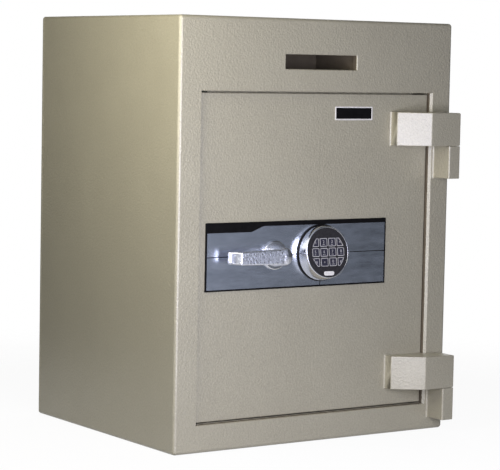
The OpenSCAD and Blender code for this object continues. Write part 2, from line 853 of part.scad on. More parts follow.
// Bright sheet with its fine seams
module trim_plate() {
    seam_y = trim_front + 0.8 * trim_t;
    color(bright) from_corner() difference() {
        plate_y(trim_front, trim_front + trim_t) trim_face_outline();
        block([trim_l, trim_front - FAR, handle_z - seam_w / 2],
              [handle_x - rose_r - 8, seam_y, handle_z + seam_w / 2]);
        block([keypad_x + base_r + 12, trim_front - FAR, handle_z - seam_w / 2],
              [trim_l + trim_w, seam_y, handle_z + seam_w / 2]);
        block([keypad_x - seam_w / 2, trim_front - FAR, trim_b],
              [keypad_x + seam_w / 2, seam_y, keypad_z - base_r]);
        trim_holes();
    }
}

// Black carrier that shows as the edge, the top band and the tab
module trim_border() {
    z1 = trim_b + trim_h;
    color(black) from_corner() difference() {
        plate_y(trim_front, door_recess)
            round_rect([trim_l, trim_b], [trim_l + trim_w, z1], 1);
        plate_y(trim_front - FAR, trim_front + trim_t) trim_face_outline();
        trim_holes();
    }
}

// Pale rim of the badge
module badge_rim() {
    inset = [badge_rim_w, badge_rim_w];
    color(pale) from_corner() plate_y(door_recess - badge_t, door_recess) difference() {
        round_rect(badge_lo, badge_hi, 1);
        round_rect(badge_lo + inset, badge_hi - inset, 0.5);
    }
}

// Bare dark field of the badge
module badge_field() {
    inset = [badge_rim_w + seat, badge_rim_w + seat];
    color(black) from_corner() plate_y(door_recess - 0.8 * badge_t, door_recess)
        round_rect(badge_lo + inset, badge_hi - inset, 0.5);
}

// Bevelled ring under the handle
module lever_rose() {
    bore = spindle_d / 2 + 0.5;
    color(chrome) from_corner() translate([handle_x, trim_front, handle_z]) rotate([90, 0, 0])
        rotate_extrude() polygon([
            [bore, 0], [rose_r, 0], [rose_r, rose_t - 1.5], [rose_r - 1.5, rose_t], [bore, rose_t]
        ]);
}

// Bush that carries the spindle in the door
module spindle_bush() {
    flange_d = bush_d + 8;
    color(bronze) from_corner() difference() {
        union() {
            rod_y(bush_d, handle_x, handle_z, trim_front, door_back + 0.5);
            rod_y(flange_d, handle_x, handle_z, door_back, door_back + work_gap);
        }
        rod_y(spindle_d + 2 * seat, handle_x, handle_z, 0, door_back + work_gap + FAR);
    }
}

// Moves what is drawn on the keypad's face, with Z outwards, to its place
module on_face() {
    from_corner() translate([keypad_x, keypad_y, face_z]) rotate([90 - keypad_tilt, 0, 0])
        children();
}

// Black base of the keypad
module keypad_base() {
    color(black) from_corner() difference() {
        rod_y(2 * base_r, keypad_x, keypad_z, base_front, trim_front);
        rod_y(cable_d + 1, keypad_x, cable_z, base_front - FAR, trim_front + FAR);
        for (x = keypad_screw_xs)
            rod_y(lock_screw_d + 2 * seat, x, keypad_z, base_front - FAR, trim_front + FAR);
    }
}

// Screws that hold the keypad's base to the trim
module keypad_screws() {
    color(zinc) from_corner() for (x = keypad_screw_xs)
        screw_y(lock_screw_d, x, keypad_z, base_front, keypad_screw_y1, 1.6);
}

// Cone on the tilted face's axis, of radius r at depth z0 and wider further down
module housing_cone(r, z0, z1) {
    on_face() translate([0, 0, z1]) cylinder(h = z0 - z1, r1 = r + flare * (z0 - z1), r2 = r);
}

// Chrome housing: a slanted shell with a bright rim round the face
module keypad_housing() {
    ledge_z = -face_sink - face_t;
    deep = -2 * keypad_out - rim_r * sin(keypad_tilt);
    color(chrome) difference() {
        housing_cone(rim_r, 0, deep);
        housing_cone(rim_r - housing_wall, ledge_z - ledge_t, deep - FAR);
        on_face() translate([0, 0, ledge_z - FAR]) cylinder(h = 2 * FAR, r = ledge_r);
        on_face() translate([0, 0, ledge_z]) cylinder(h = face_t + FAR, r = face_r);
        from_corner() block([keypad_x - 2 * base_r, base_front, keypad_z - 2 * base_r],
                            [keypad_x + 2 * base_r, body_d, keypad_z + 2 * base_r]);
    }
}

// Outline of one key in the plane of the face: columns 0 to 3, rows 0 to 2 from the top
module key_outline(col, row, grow) {
    mid = [(col - 1.5) * key_pitch_x, (1 - row) * key_pitch_y];
    half = [key_w / 2 + grow, key_h / 2 + grow];
    intersection() {
        round_rect(mid - half, mid + half, key_r);
        circle(key_field_r + grow);
    }
}

// Black face with the key holes and the ribs that carry the board
module keypad_face() {
    rib_back = board_front;
    rib_top = -face_sink - face_t + 0.2;
    rib_v = 1.5 * key_pitch_y;
    color(black) on_face() {
        difference() {
            translate([0, 0, -face_sink - face_t]) cylinder(h = face_t, r = face_r - seat);
            translate([0, 0, -face_sink - face_t - FAR]) linear_extrude(face_t + 2 * FAR)
                for (col = [0:3], row = [0:2]) key_outline(col, row, key_gap);
        }
        for (v = [-rib_v, rib_v])
            block([-key_pitch_x, v - rib_t / 2, rib_back], [key_pitch_x, v + rib_t / 2, rib_top]);
        block([-rib_t / 2, -rib_v, rib_back], [rib_t / 2, rib_v, rib_top]);
        block([-ridge_l / 2, ridge_rise, -face_sink - face_t / 2],
              [ridge_l / 2, ridge_rise + ridge_w, 0]);
    }
}

// Pale bare oval below the keys
module keypad_oval() {
    run = (oval_l - oval_h) / 2;
    color(pale) on_face() translate([0, -oval_drop, -face_sink]) linear_extrude(0.4) {
        translate([-run, -oval_h / 2]) square([2 * run, oval_h]);
        for (x = [-run, run]) translate([x, 0]) circle(d = oval_h);
    }
}

// Circuit board behind the keys
module keypad_board() {
    color([0.10, 0.30, 0.16]) on_face() translate([0, 0, board_front - board_t])
        linear_extrude(board_t) intersection() {
            square([board_w, board_h], center = true);
            circle(board_r);
        }
}

// One key: a block with soft corners that slides in the face
module pad_key(col, row) {
    color(black) on_face() translate([0, 0, key_back]) linear_extrude(key_front - key_back)
        key_outline(col, row, 0);
}

// Cable from the keypad's board through the door into the lock
module lock_cable() {
    back = board_front - board_t;
    v = (cable_z - face_z - back * sin(keypad_tilt)) / cos(keypad_tilt);
    slant = cable_d / 2 * tan(keypad_tilt);
    start = keypad_y + v * sin(keypad_tilt) - back * cos(keypad_tilt) + slant + 0.1;
    color(black) from_corner() rod_y(cable_d, keypad_x, cable_z, start, door_back + case_wall);
}

// Battery on the door's back
module battery_cell() {
    color(black) from_corner() translate([battery_x, door_back + clip_t, battery_z])
        cube(battery);
}

// Sheet clip that holds the battery
module battery_clip() {
    lip = 0.1;
    x0 = battery_x - clip_t - lip;
    x1 = battery_x + battery.x + clip_t + lip;
    y1 = door_back + clip_t + battery.y;
    z0 = battery_z + 10;
    z1 = battery_z + battery.z - 10;
    color(zinc) from_corner() {
        block([x0, door_back, z0], [x1, door_back + clip_t, z1]);
        block([x0, door_back, z0], [x0 + clip_t, y1, z1]);
        block([x1 - clip_t, door_back, z0], [x1, y1, z1]);
    }
}

// Points of an arc of radius r about mid, from angle a0 to a1
function arc(mid, r, a0, a1) = [
    for (i = [0:6]) let (a = a0 + (a1 - a0) * i / 6) mid + r * [cos(a), sin(a)]
];

// Lever seen from above: a grip whose end returns towards the door
module lever_plan() {
    tip = lever_r - lever_l;
    end_back = lever_front + lever_end_t;
    inner = lever_end_l - lever_l;
    lean = 180 + atan(lever_slant / (lever_end_t - 2 * lever_r));
    polygon(concat(
        [[0, lever_front + lever_t], [0, lever_front]],
        arc([tip + lever_slant, lever_front + lever_r], lever_r, 270, lean),
        arc([tip, end_back - lever_r], lever_r, lean, 90),
        arc([inner - lever_r, end_back - lever_r], lever_r, 90, 0),
        [[inner, lever_front + lever_t]]
    ));
}

// Lever seen from the front: it tapers from the hub to a rounded tip
module lever_face() {
    tip = lever_r - lever_l;
    end_z = lever_end_h / 2;
    polygon(concat(
        [[0, lever_root_h / 2]],
        arc([tip, end_z - lever_r], lever_r, 90, 180),
        arc([tip, lever_r - end_z], lever_r, 180, 270),
        [[0, -lever_root_h / 2]]
    ));
}

// Lever with a domed hub, a grip and an end that returns towards the door
module lever_handle() {
    hub_l = hub_y - lever_front - hub_dome;
    half = square_w / 2 + square_play;
    color(chrome) from_corner() translate([handle_x, 0, handle_z]) difference() {
        union() {
            translate([0, hub_y, 0]) rotate([90, 0, 0]) rotate_extrude() polygon(concat(
                [[0, 0], [hub_r, 0]],
                [for (a = [0:15:90]) [hub_front_r * cos(a), hub_l + hub_dome * sin(a)]]
            ));
            intersection() {
                translate([0, 0, -lever_root_h]) linear_extrude(2 * lever_root_h) lever_plan();
                plate_y(lever_front - FAR, hub_y) lever_face();
            }
        }
        block([-half, hub_y - 21, -half], [half, hub_y + FAR, half]);
    }
}

// Spindle: a square end in the lever, a journal in the bush, a collar, and a square in the cam
module spindle() {
    half = square_w / 2;
    color(zinc) from_corner() {
        block([handle_x - half, hub_y - 20, handle_z - half],
              [handle_x + half, hub_y + 1, handle_z + half]);
        rod_y(spindle_d, handle_x, handle_z, hub_y, cam_y0);
        rod_y(spindle_d + 6, handle_x, handle_z, door_back + work_gap + run_gap, cam_y0);
        block([handle_x - half, cam_y0 - 1, handle_z - half],
              [handle_x + half, cam_y1, handle_z + half]);
        rod_y(square_w - 2, handle_x, handle_z, cam_y1 - 1, cam_y1 + 2.5);
    }
}

// Disc on the spindle whose pin drives the bolt arm
module cam_disc() {
    half = square_w / 2 + square_play;
    color(zinc) from_corner() {
        difference() {
            rod_y(2 * cam_r, handle_x, handle_z, cam_y0, cam_y1);
            block([handle_x - half, cam_y0 - FAR, handle_z - half],
                  [handle_x + half, cam_y1 + FAR, handle_z + half]);
        }
        rod_y(drive_d, drive_x, drive_z0, cam_y1 - 1, arm_y1 + 1);
    }
}

// Ring that keeps the cam on its spindle
module spindle_clip() {
    color(zinc) from_corner() difference() {
        rod_y(square_w + 8, handle_x, handle_z, cam_y1, cam_y1 + 1.2);
        rod_y(square_w - 2 + 2 * seat, handle_x, handle_z, cam_y1 - FAR, cam_y1 + FAR);
    }
}

// Bar that joins the three bolts
module bolt_bar() {
    color(zinc) from_corner() difference() {
        block([bar_x, bar_y0, bar_z0], [bar_x + bar_w, bar_y1, bar_z1]);
        for (z = bolt_rows)
            rod_x(screw_d + 2 * seat, bolt_y, handle_z + z, bar_x - FAR, bar_x + bar_w + FAR);
    }
}

// Arm from the bar to the cam, with the drive slot and the tab that the swing bolt blocks
module bolt_arm() {
    half = drive_d / 2 + drive_play;
    color(zinc) from_corner() difference() {
        union() {
            block([bar_x, bar_y1, arm_z0], [tab_x1, arm_y1, arm_z1]);
            block([tab_x1 - tab_w, bar_y1, tab_z0], [tab_x1, arm_y1, arm_z1]);
        }
        block([drive_x - half, bar_y1 - FAR, drive_z0 - half],
              [drive_x + half, arm_y1 + FAR, drive_z1 + half]);
    }
}

// Three round bolts, tapped at their inner end
module lock_bolts() {
    color(chrome) from_corner() for (z = bolt_rows) difference() {
        rod_x(bolt_d, bolt_y, handle_z + z, bolt_tip, bolt_tip + bolt_l);
        rod_x(screw_d + 2 * seat, bolt_y, handle_z + z, bar_x - screw_grip - tap_room, bar_x + FAR);
    }
}

// Screws from the bar into the bolts
module bolt_screws() {
    color(zinc) from_corner() for (z = bolt_rows) {
        rod_x(screw_d, bolt_y, handle_z + z, bar_x - screw_grip, bar_x + bar_w + 1);
        rod_x(1.6 * screw_d, bolt_y, handle_z + z, bar_x + bar_w, bar_x + bar_w + 5);
    }
}

// Pivoting bolt of the lock, folded aside at rest: a sector on a hub
module swing_bolt() {
    arc = [for (i = [0:6]) 90 - swing_turn - swing_fill * i / 6];
    color(chrome) from_corner() difference() {
        plate_y(swing_y0, swing_y0 + swing_t) translate([swing_x, swing_z]) {
            circle(swing_hub_r);
            intersection() {
                circle(swing_r);
                polygon(concat([[0, 0]], [for (a = arc) 1.1 * swing_r * [cos(a), sin(a)]]));
            }
        }
        rod_y(pivot_d + 2 * pivot_fit, swing_x, swing_z, 0, swing_y0 + swing_t + FAR);
    }
}

cabinet_shell();
back_plate();
front_frame();
jamb_liner();
door_stops();
deposit_chute();
fishing_baffle();
knuckle_upper();
knuckle_lower();
hinge_pins();
thrust_washers();
door_plate();
strap_upper();
strap_lower();
dog_bar();
bolt_guide();
lock_case();
lock_cover();
lock_motor();
lock_screws();
door_cover();
cover_standoffs();
cover_screws();
trim_plate();
trim_border();
badge_rim();
badge_field();
lever_rose();
spindle_bush();
keypad_base();
keypad_screws();
keypad_housing();
keypad_face();
keypad_oval();
keypad_board();
battery_cell();
battery_clip();
lock_cable();
lever_handle();
spindle();
cam_disc();
spindle_clip();
bolt_bar();
bolt_arm();
lock_bolts();
bolt_screws();
swing_bolt();
pad_key(0, 0);  // key_1
pad_key(1, 0);  // key_2
pad_key(2, 0);  // key_3
pad_key(3, 0);  // key_4
pad_key(0, 1);  // key_5
pad_key(1, 1);  // key_6
pad_key(2, 1);  // key_7
pad_key(3, 1);  // key_8
pad_key(0, 2);  // key_9
pad_key(1, 2);  // key_star
pad_key(2, 2);  // key_0
pad_key(3, 2);  // key_hash
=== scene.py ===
"""Looks of the deposit safe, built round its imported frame.

Every length is in metres and every piece stands in the frame's own axes: X to the right, Y to
the back, Z up, with the origin at the centre of the underside.
"""

from __future__ import annotations

import json
import logging
import math
from dataclasses import dataclass, field
from enum import Enum
from typing import Callable, ClassVar, Sequence

import bmesh
import bpy
import numpy as np
from mathutils import Matrix, Vector
from mathutils.geometry import tessellate_polygon

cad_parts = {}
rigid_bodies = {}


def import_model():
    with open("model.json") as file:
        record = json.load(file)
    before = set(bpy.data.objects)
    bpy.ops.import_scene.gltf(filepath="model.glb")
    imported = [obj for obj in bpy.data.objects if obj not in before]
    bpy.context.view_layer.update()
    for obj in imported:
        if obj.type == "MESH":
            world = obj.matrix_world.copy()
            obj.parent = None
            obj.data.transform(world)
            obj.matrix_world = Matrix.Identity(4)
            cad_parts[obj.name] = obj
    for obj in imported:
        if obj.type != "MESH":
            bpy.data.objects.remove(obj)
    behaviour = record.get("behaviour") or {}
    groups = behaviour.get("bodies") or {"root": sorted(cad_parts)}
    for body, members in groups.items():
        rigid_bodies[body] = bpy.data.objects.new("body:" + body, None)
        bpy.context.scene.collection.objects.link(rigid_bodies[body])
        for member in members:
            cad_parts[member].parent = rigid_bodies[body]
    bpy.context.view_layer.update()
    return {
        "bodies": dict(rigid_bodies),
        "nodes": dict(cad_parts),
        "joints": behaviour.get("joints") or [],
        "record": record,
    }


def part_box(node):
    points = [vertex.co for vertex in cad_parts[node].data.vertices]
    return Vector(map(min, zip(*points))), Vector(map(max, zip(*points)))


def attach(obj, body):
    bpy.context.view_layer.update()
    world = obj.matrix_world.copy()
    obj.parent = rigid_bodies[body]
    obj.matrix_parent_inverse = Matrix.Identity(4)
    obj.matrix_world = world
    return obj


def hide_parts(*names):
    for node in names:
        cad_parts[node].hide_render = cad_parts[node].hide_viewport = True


MM = 0.001
IMAGE_W = 500
SENSOR = 36.0
MERGE = 1e-6
THINNEST = 1e-7
TOUCHING = 1e-9
TINY = 1e-12
LEAST_TURN = 0.2
SHARP = math.radians(35)
FLAT_WEIGHT = 80
ROUND_STEPS = 4
LOG = logging.getLogger("deposit_safe")

Colour = tuple[float, float, float]
Placer = Callable[[np.ndarray], np.ndarray]
EdgeRule = Callable[[np.ndarray, np.ndarray], np.ndarray]


class Along(Enum):
    """The axis that an outline is carried along."""

    Y = "y"
    Z = "z"


def place_along(axis: Along) -> Placer:
    """Returns the map from (u, v, depth) to X, Y, Z.

    Args:
        axis: the axis that depth runs along; u and v take the other two in order.

    Returns:
        A function on an array whose last axis holds u, v and depth.
    """
    order = {Along.Y: [0, 2, 1], Along.Z: [0, 1, 2]}[axis]
    return lambda points: points[..., order]


def facing(x: float, y: float, z: float) -> Placer:
    """Returns the map that puts (u, v, depth) at a point, with depth towards the front."""
    return lambda p: np.stack([x + p[..., 0], y - p[..., 2], z + p[..., 1]], axis=-1)


def arc(
    mid: Sequence[float], radius: float, start: float, end: float, steps: int = 6
) -> np.ndarray:
    """Points of an arc: mid plus radius times (cos, sin) of evenly spaced angles.

    Args:
        mid: centre of the arc.
        radius: its radius.
        start: first angle in degrees.
        end: last angle in degrees.
        steps: number of chords.

    Returns:
        An array of steps + 1 points.
    """
    angle = np.radians(np.linspace(start, end, steps + 1))
    return np.asarray(mid) + radius * np.stack([np.cos(angle), np.sin(angle)], axis=-1)


def rounded_rect(
    lo: Sequence[float], hi: Sequence[float], radius: float, steps: int = 6
) -> np.ndarray:
    """Outline of a rectangle with round corners, anticlockwise.

    Args:
        lo: lower corner.
        hi: upper corner.
        radius: corner radius.
        steps: chords in each corner.

    Returns:
        The outline's points, four arcs joined by straight sides.
    """
    x0, z0, x1, z1 = lo[0] + radius, lo[1] + radius, hi[0] - radius, hi[1] - radius
    corners = [((x1, z0), -90), ((x1, z1), 0), ((x0, z1), 90), ((x0, z0), 180)]
    return np.concatenate([arc(mid, radius, a, a + 90, steps) for mid, a in corners])


def fillet(loop: np.ndarray, radius: float, least_turn: float = 20.0, steps: int = 5) -> np.ndarray:
    """Rounds the corners of a closed outline with true arcs.

    At a corner with half angle h between its sides, the arc of radius r touches both sides at
    r / tan h from the corner, and its centre lies r / sin h along the bisector.

    Args:
        loop: points of the outline.
        radius: radius of the arcs.
        least_turn: a corner that turns by fewer degrees stays as it is.
        steps: chords in each arc.

    Returns:
        The rounded outline.
    """
    parts = []
    for i, corner in enumerate(loop):
        before, after = loop[i - 1] - corner, loop[(i + 1) % len(loop)] - corner
        ways = [before / np.linalg.norm(before), after / np.linalg.norm(after)]
        half = math.acos(float(np.clip(ways[0] @ ways[1], -1, 1))) / 2
        if math.degrees(math.pi - 2 * half) < least_turn:
            parts.append(corner[None])
            continue
        middle = (ways[0] + ways[1]) / np.linalg.norm(ways[0] + ways[1])
        centre = corner + middle * radius / math.sin(half)
        ends = [corner + way * radius / math.tan(half) - centre for way in ways]
        first, last = (math.degrees(math.atan2(end[1], end[0])) for end in ends)
        sweep = (last - first + 180) % 360 - 180
        parts.append(arc(centre, radius, first, first + sweep, steps))
    return np.concatenate(parts)


def clip_to_circle(loop: np.ndarray, radius: float, sides: int = 120) -> np.ndarray:
    """Cuts a convex outline to a circle about the origin, one tangent line at a time.

    A side that crosses a tangent line ends where its distance along the line's normal is radius.

    Args:
        loop: points of the outline, anticlockwise.
        radius: radius of the circle.
        sides: number of tangent lines.

    Returns:
        The cut outline.
    """
    for angle in np.linspace(0, 2 * math.pi, sides, endpoint=False):
        over = loop @ np.array([math.cos(angle), math.sin(angle)]) - radius
        if over.max() <= TOUCHING:
            continue
        kept = []
        for i, point in enumerate(loop):
            j = (i + 1) % len(loop)
            if over[i] <= 0:
                kept.append(point)
            if over[i] * over[j] < 0:
                kept.append(point + (loop[j] - point) * over[i] / (over[i] - over[j]))
        loop = np.array(kept)
    return loop


def inset(loop: np.ndarray, distance: float) -> np.ndarray:
    """Moves each point of a closed outline to its left by distance, square to both its sides.

    The shift is distance times the sum of both sides' unit normals over one plus their product.

    Args:
        loop: points of the outline; left is inwards when they run anticlockwise.
        distance: how far each side moves.

    Returns:
        The moved outline.
    """
    before = loop - np.roll(loop, 1, axis=0)
    after = np.roll(loop, -1, axis=0) - loop
    normals = []
    for side in (before, after):
        length = np.maximum(np.linalg.norm(side, axis=1, keepdims=True), TINY)
        normals.append(np.stack([-side[:, 1], side[:, 0]], axis=-1) / length)
    turn = 1 + np.sum(normals[0] * normals[1], axis=1, keepdims=True)
    turn = np.maximum(turn, LEAST_TURN)
    return loop + distance * (normals[0] + normals[1]) / turn


def at_depth(loop: np.ndarray, depth: float) -> np.ndarray:
    """Returns a flat outline's points with one depth as their third value."""
    return np.column_stack([loop, np.full(len(loop), depth)])


def inset_rings(
    loop: np.ndarray, shifts: Sequence[float], depths: Sequence[float]
) -> np.ndarray:
    """Stacks copies of an outline, each inset by its own shift and set at its own depth."""
    return np.stack([at_depth(inset(loop, s), d) for s, d in zip(shifts, depths)])


def quarter_round(radius: float | np.ndarray, steps: int) -> tuple[np.ndarray, np.ndarray]:
    """Shape of a quarter round edge, from the face to the wall.

    Args:
        radius: its radius, or a column of radii.
        steps: number of chords.

    Returns:
        The inset r(1 - sin a) and the depth r(1 - cos a), for a from 0 to 90 degrees.
    """
    angle = np.linspace(0, math.pi / 2, steps + 1)
    return radius * (1 - np.sin(angle)), radius * (1 - np.cos(angle))


def grey(level: float) -> tuple[float, float, float, float]:
    """Returns an opaque grey."""
    return level, level, level, 1.0


class Skin:
    """Collects grids and caps, and turns them into one mesh object at the origin."""

    def __init__(self) -> None:
        """Starts with no points and no faces."""
        self.points: list[np.ndarray] = []
        self.faces: list[list[int]] = []
        self.slots: list[int] = []
        self.count = 0

    def add(self, points: np.ndarray, faces: list[list[int]], slot: int = 0) -> None:
        """Adds points and the faces among them.

        Args:
            points: array of X, Y, Z rows.
            faces: lists of indices into these points.
            slot: material slot of the faces.
        """
        self.points.append(points.reshape(-1, 3))
        self.faces.extend([[i + self.count for i in face] for face in faces])
        self.slots.extend([slot] * len(faces))
        self.count += len(self.points[-1])

    def grid(self, points: np.ndarray, wrap_rows: bool = False, slot: int = 0) -> None:
        """Adds a surface sampled on a grid, with a quad between each four neighbours.

        Args:
            points: array of rows by columns by X, Y, Z; the last column joins the first.
            wrap_rows: whether the last row joins the first too.
            slot: material slot of the faces.
        """
        rows, cols = points.shape[:2]
        index = np.arange(rows * cols).reshape(rows, cols)
        if wrap_rows:
            index = np.vstack([index, index[:1]])
        index = np.hstack([index, index[:, :1]])
        quads = np.stack([index[:-1, :-1], index[1:, :-1], index[1:, 1:], index[:-1, 1:]], axis=-1)
        self.add(points, quads.reshape(-1, 4).tolist(), slot)

    def cap(self, *loops: np.ndarray) -> None:
        """Fills the space inside the first loop and outside the others.

        Args:
            loops: closed loops of X, Y, Z points in one plane.
        """
        points = np.concatenate(loops)
        faces = [list(range(len(points)))]
        if len(loops) > 1:
            rims = [[Vector(point) for point in loop] for loop in loops]
            faces = [list(face) for face in tessellate_polygon(rims)]
        self.add(points, faces)

    def prism(
        self,
        loops: Sequence[tuple[np.ndarray, float, float]],
        depth: tuple[float, float],
        place: Placer,
        steps: int = 4,
        also: Sequence[tuple[np.ndarray, np.ndarray]] = (),
    ) -> None:
        """Carries flat outlines through a depth, with quarter round edges at both ends.

        Args:
            loops: each outline with its edge radii at the first and the last depth; the first is
                the outer one, anticlockwise, and the others are holes, clockwise.
            depth: first and last depth.
            place: map from u, v, depth to X, Y, Z.
            steps: chords in each edge.
            also: first and last loops, already placed, of holes whose walls are made elsewhere.
        """
        ends = []
        for loop, r0, r1 in loops:
            (in0, deep0), (in1, deep1) = quarter_round(r0, steps), quarter_round(r1, steps)
            shifts = np.concatenate([in0, in1[::-1]])
            depths = np.concatenate([depth[0] + deep0, (depth[1] - deep1)[::-1]])
            placed = place(inset_rings(loop, shifts, depths))
            self.grid(placed)
            ends.append((placed[0], placed[-1]))
        ends.extend(also)
        self.cap(*(first for first, _ in ends))
        self.cap(*(last for _, last in ends))

    def turned(
        self, profile: np.ndarray, place: Placer, closed: bool = False, segments: int = 96
    ) -> None:
        """Turns a profile of (radius, depth) rows about the depth axis.

        A point at angle t is (radius cos t, radius sin t, depth).

        Args:
            profile: rows of radius and depth.
            place: map from u, v, depth to X, Y, Z.
            closed: whether the profile's last row joins its first.
            segments: steps round the axis.
        """
        turn = np.linspace(0, 2 * math.pi, segments, endpoint=False)
        radius, depth = profile[:, :1], np.repeat(profile[:, 1:], segments, axis=1)
        rings = np.stack([radius * np.cos(turn), radius * np.sin(turn), depth], axis=-1)
        self.grid(place(rings), wrap_rows=closed)

    def build(
        self, name: str, materials: Sequence[bpy.types.Material], rule: EdgeRule | None = None
    ) -> bpy.types.Object:
        """Makes the object: seams merged, faces outwards, flats shaded flat.

        Args:
            name: name of the object.
            materials: one for each slot used.
            rule: radius of each edge's rounding, from the edges' middles and directions.

        Returns:
            The new object, linked to the scene.
        """
        mesh = bpy.data.meshes.new(name)
        mesh.from_pydata(np.concatenate(self.points).tolist(), [], self.faces)
        mesh.polygons.foreach_set("material_index", self.slots)
        for material in materials:
            mesh.materials.append(material)
        work = bmesh.new()
        work.from_mesh(mesh)
        bmesh.ops.remove_doubles(work, verts=work.verts, dist=MERGE)
        bmesh.ops.dissolve_degenerate(work, edges=work.edges, dist=THINNEST)
        bmesh.ops.recalc_face_normals(work, faces=work.faces)
        work.to_mesh(mesh)
        work.free()
        obj = bpy.data.objects.new(name, mesh)
        bpy.context.scene.collection.objects.link(obj)
        if rule:
            round_edges(obj, rule)
        finish_shading(obj)
        return obj

    def fit(
        self,
        name: str,
        finishes: Sequence[Finish],
        body: str,
        slot: str,
        *nodes: str,
        rule: EdgeRule | None = None,
    ) -> None:
        """Makes the object and sets it on its body.

        Args:
            name: name of the object.
            finishes: one for each slot used.
            body: CAD body that it rides on.
            slot: material slot of the record.
            nodes: CAD nodes that it stands for.
            rule: radius of each edge's rounding, if it has any.
        """
        obj = self.build(name, [finish.material() for finish in finishes], rule)
        dress(obj, body, slot, *nodes)


def round_edges(obj: bpy.types.Object, rule: EdgeRule) -> None:
    """Adds a Bevel modifier whose width on each edge follows a rule.

    Args:
        obj: the object.
        rule: radius of each edge's rounding, from the edges' middles and directions.
    """
    mesh = obj.data
    ends = np.empty(len(mesh.edges) * 2, dtype=np.int32)
    mesh.edges.foreach_get("vertices", ends)
    points = np.empty(len(mesh.vertices) * 3)
    mesh.vertices.foreach_get("co", points)
    first, last = (points.reshape(-1, 3)[ends.reshape(-1, 2)[:, k]] for k in (0, 1))
    ways = np.abs(last - first) / np.linalg.norm(last - first, axis=1, keepdims=True)
    radii = rule((first + last) / 2, ways)
    widest = radii.max()
    for title, kind, values in (
        ("bevel_weight_edge", "FLOAT", radii / widest),
        ("sharp_edge", "BOOLEAN", radii == 0),
    ):
        mesh.attributes.new(title, kind, "EDGE").data.foreach_set("value", values)
    bevel = obj.modifiers.new("round_edges", "BEVEL")
    bevel.limit_method = "WEIGHT"
    bevel.width = float(widest)
    bevel.segments = ROUND_STEPS


def finish_shading(obj: bpy.types.Object) -> None:
    """Shades an object smooth, with its flats kept flat, and with hard edges if it has no bevel.

    Args:
        obj: the object.
    """
    mesh = obj.data
    mesh.polygons.foreach_set("use_smooth", [True] * len(mesh.polygons))
    if not obj.modifiers:
        mesh.set_sharp_from_angle(angle=SHARP)
    weighted = obj.modifiers.new("flat_faces", "WEIGHTED_NORMAL")
    weighted.keep_sharp = True
    weighted.weight = FLAT_WEIGHT


def dress(obj: bpy.types.Object, body: str, slot: str, *nodes: str) -> None:
    """Sets a new piece on its body, in place of CAD nodes.

    Args:
        obj: the piece.
        body: CAD body that it rides on.
        slot: material slot of the record; not used.
        nodes: CAD nodes that it stands for.
    """
    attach(obj, body)
    if nodes:
        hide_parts(*nodes)
    LOG.info("%s rides on %s with %d faces", obj.name, body, len(obj.data.polygons))


class Graph:
    """Short hand for adding nodes to a tree and linking them."""

    def __init__(self, tree: bpy.types.NodeTree) -> None:
        """Keeps the tree, emptied."""
        self.tree = tree
        tree.nodes.clear()

    def node(self, kind: str, values: dict | None = None, **settings: object) -> bpy.types.Node:
        """Adds a node.

        Args:
            kind: Blender's name of the node type.
            values: input name or number to a value, or to a socket that is linked.
            settings: attributes of the node.

        Returns:
            The node.
        """
        made = self.tree.nodes.new(kind)
        for key, value in settings.items():
            setattr(made, key, value)
        for key, value in (values or {}).items():
            if isinstance(value, bpy.types.NodeSocket):
                self.tree.links.new(value, made.inputs[key])
            else:
                made.inputs[key].default_value = value
        return made

    def maths(self, operation: str, *values: object) -> bpy.types.NodeSocket:
        """Adds a Math node on the given values and returns its result."""
        return self.node("ShaderNodeMath", dict(enumerate(values)), operation=operation).outputs[0]

    def ramp(self, value: bpy.types.NodeSocket, ends: tuple[float, float]) -> bpy.types.NodeSocket:
        """Adds a smooth step of a value, from 0 at the first end to 1 at the second."""
        values = {"Value": value, "From Min": ends[0], "From Max": ends[1]}
        return self.node("ShaderNodeMapRange", values, interpolation_type="SMOOTHSTEP").outputs[0]

    def blend(
        self, share: object, first: object, second: object, how: str = "MIX"
    ) -> bpy.types.NodeSocket:
        """Adds a colour Mix node and returns its result."""
        values = {0: share, 6: first, 7: second}
        return self.node("ShaderNodeMix", values, data_type="RGBA", blend_type=how).outputs[2]

    def group(self, tree: bpy.types.NodeTree, **values: object) -> bpy.types.NodeSocket:
        """Adds a node group with its own values.

        Args:
            tree: the group.
            values: names of its inputs to their values.

        Returns:
            Its first output.
        """
        made = self.node("ShaderNodeGroup", node_tree=tree)
        for key, value in values.items():
            made.inputs[key].default_value = value
        return made.outputs[0]


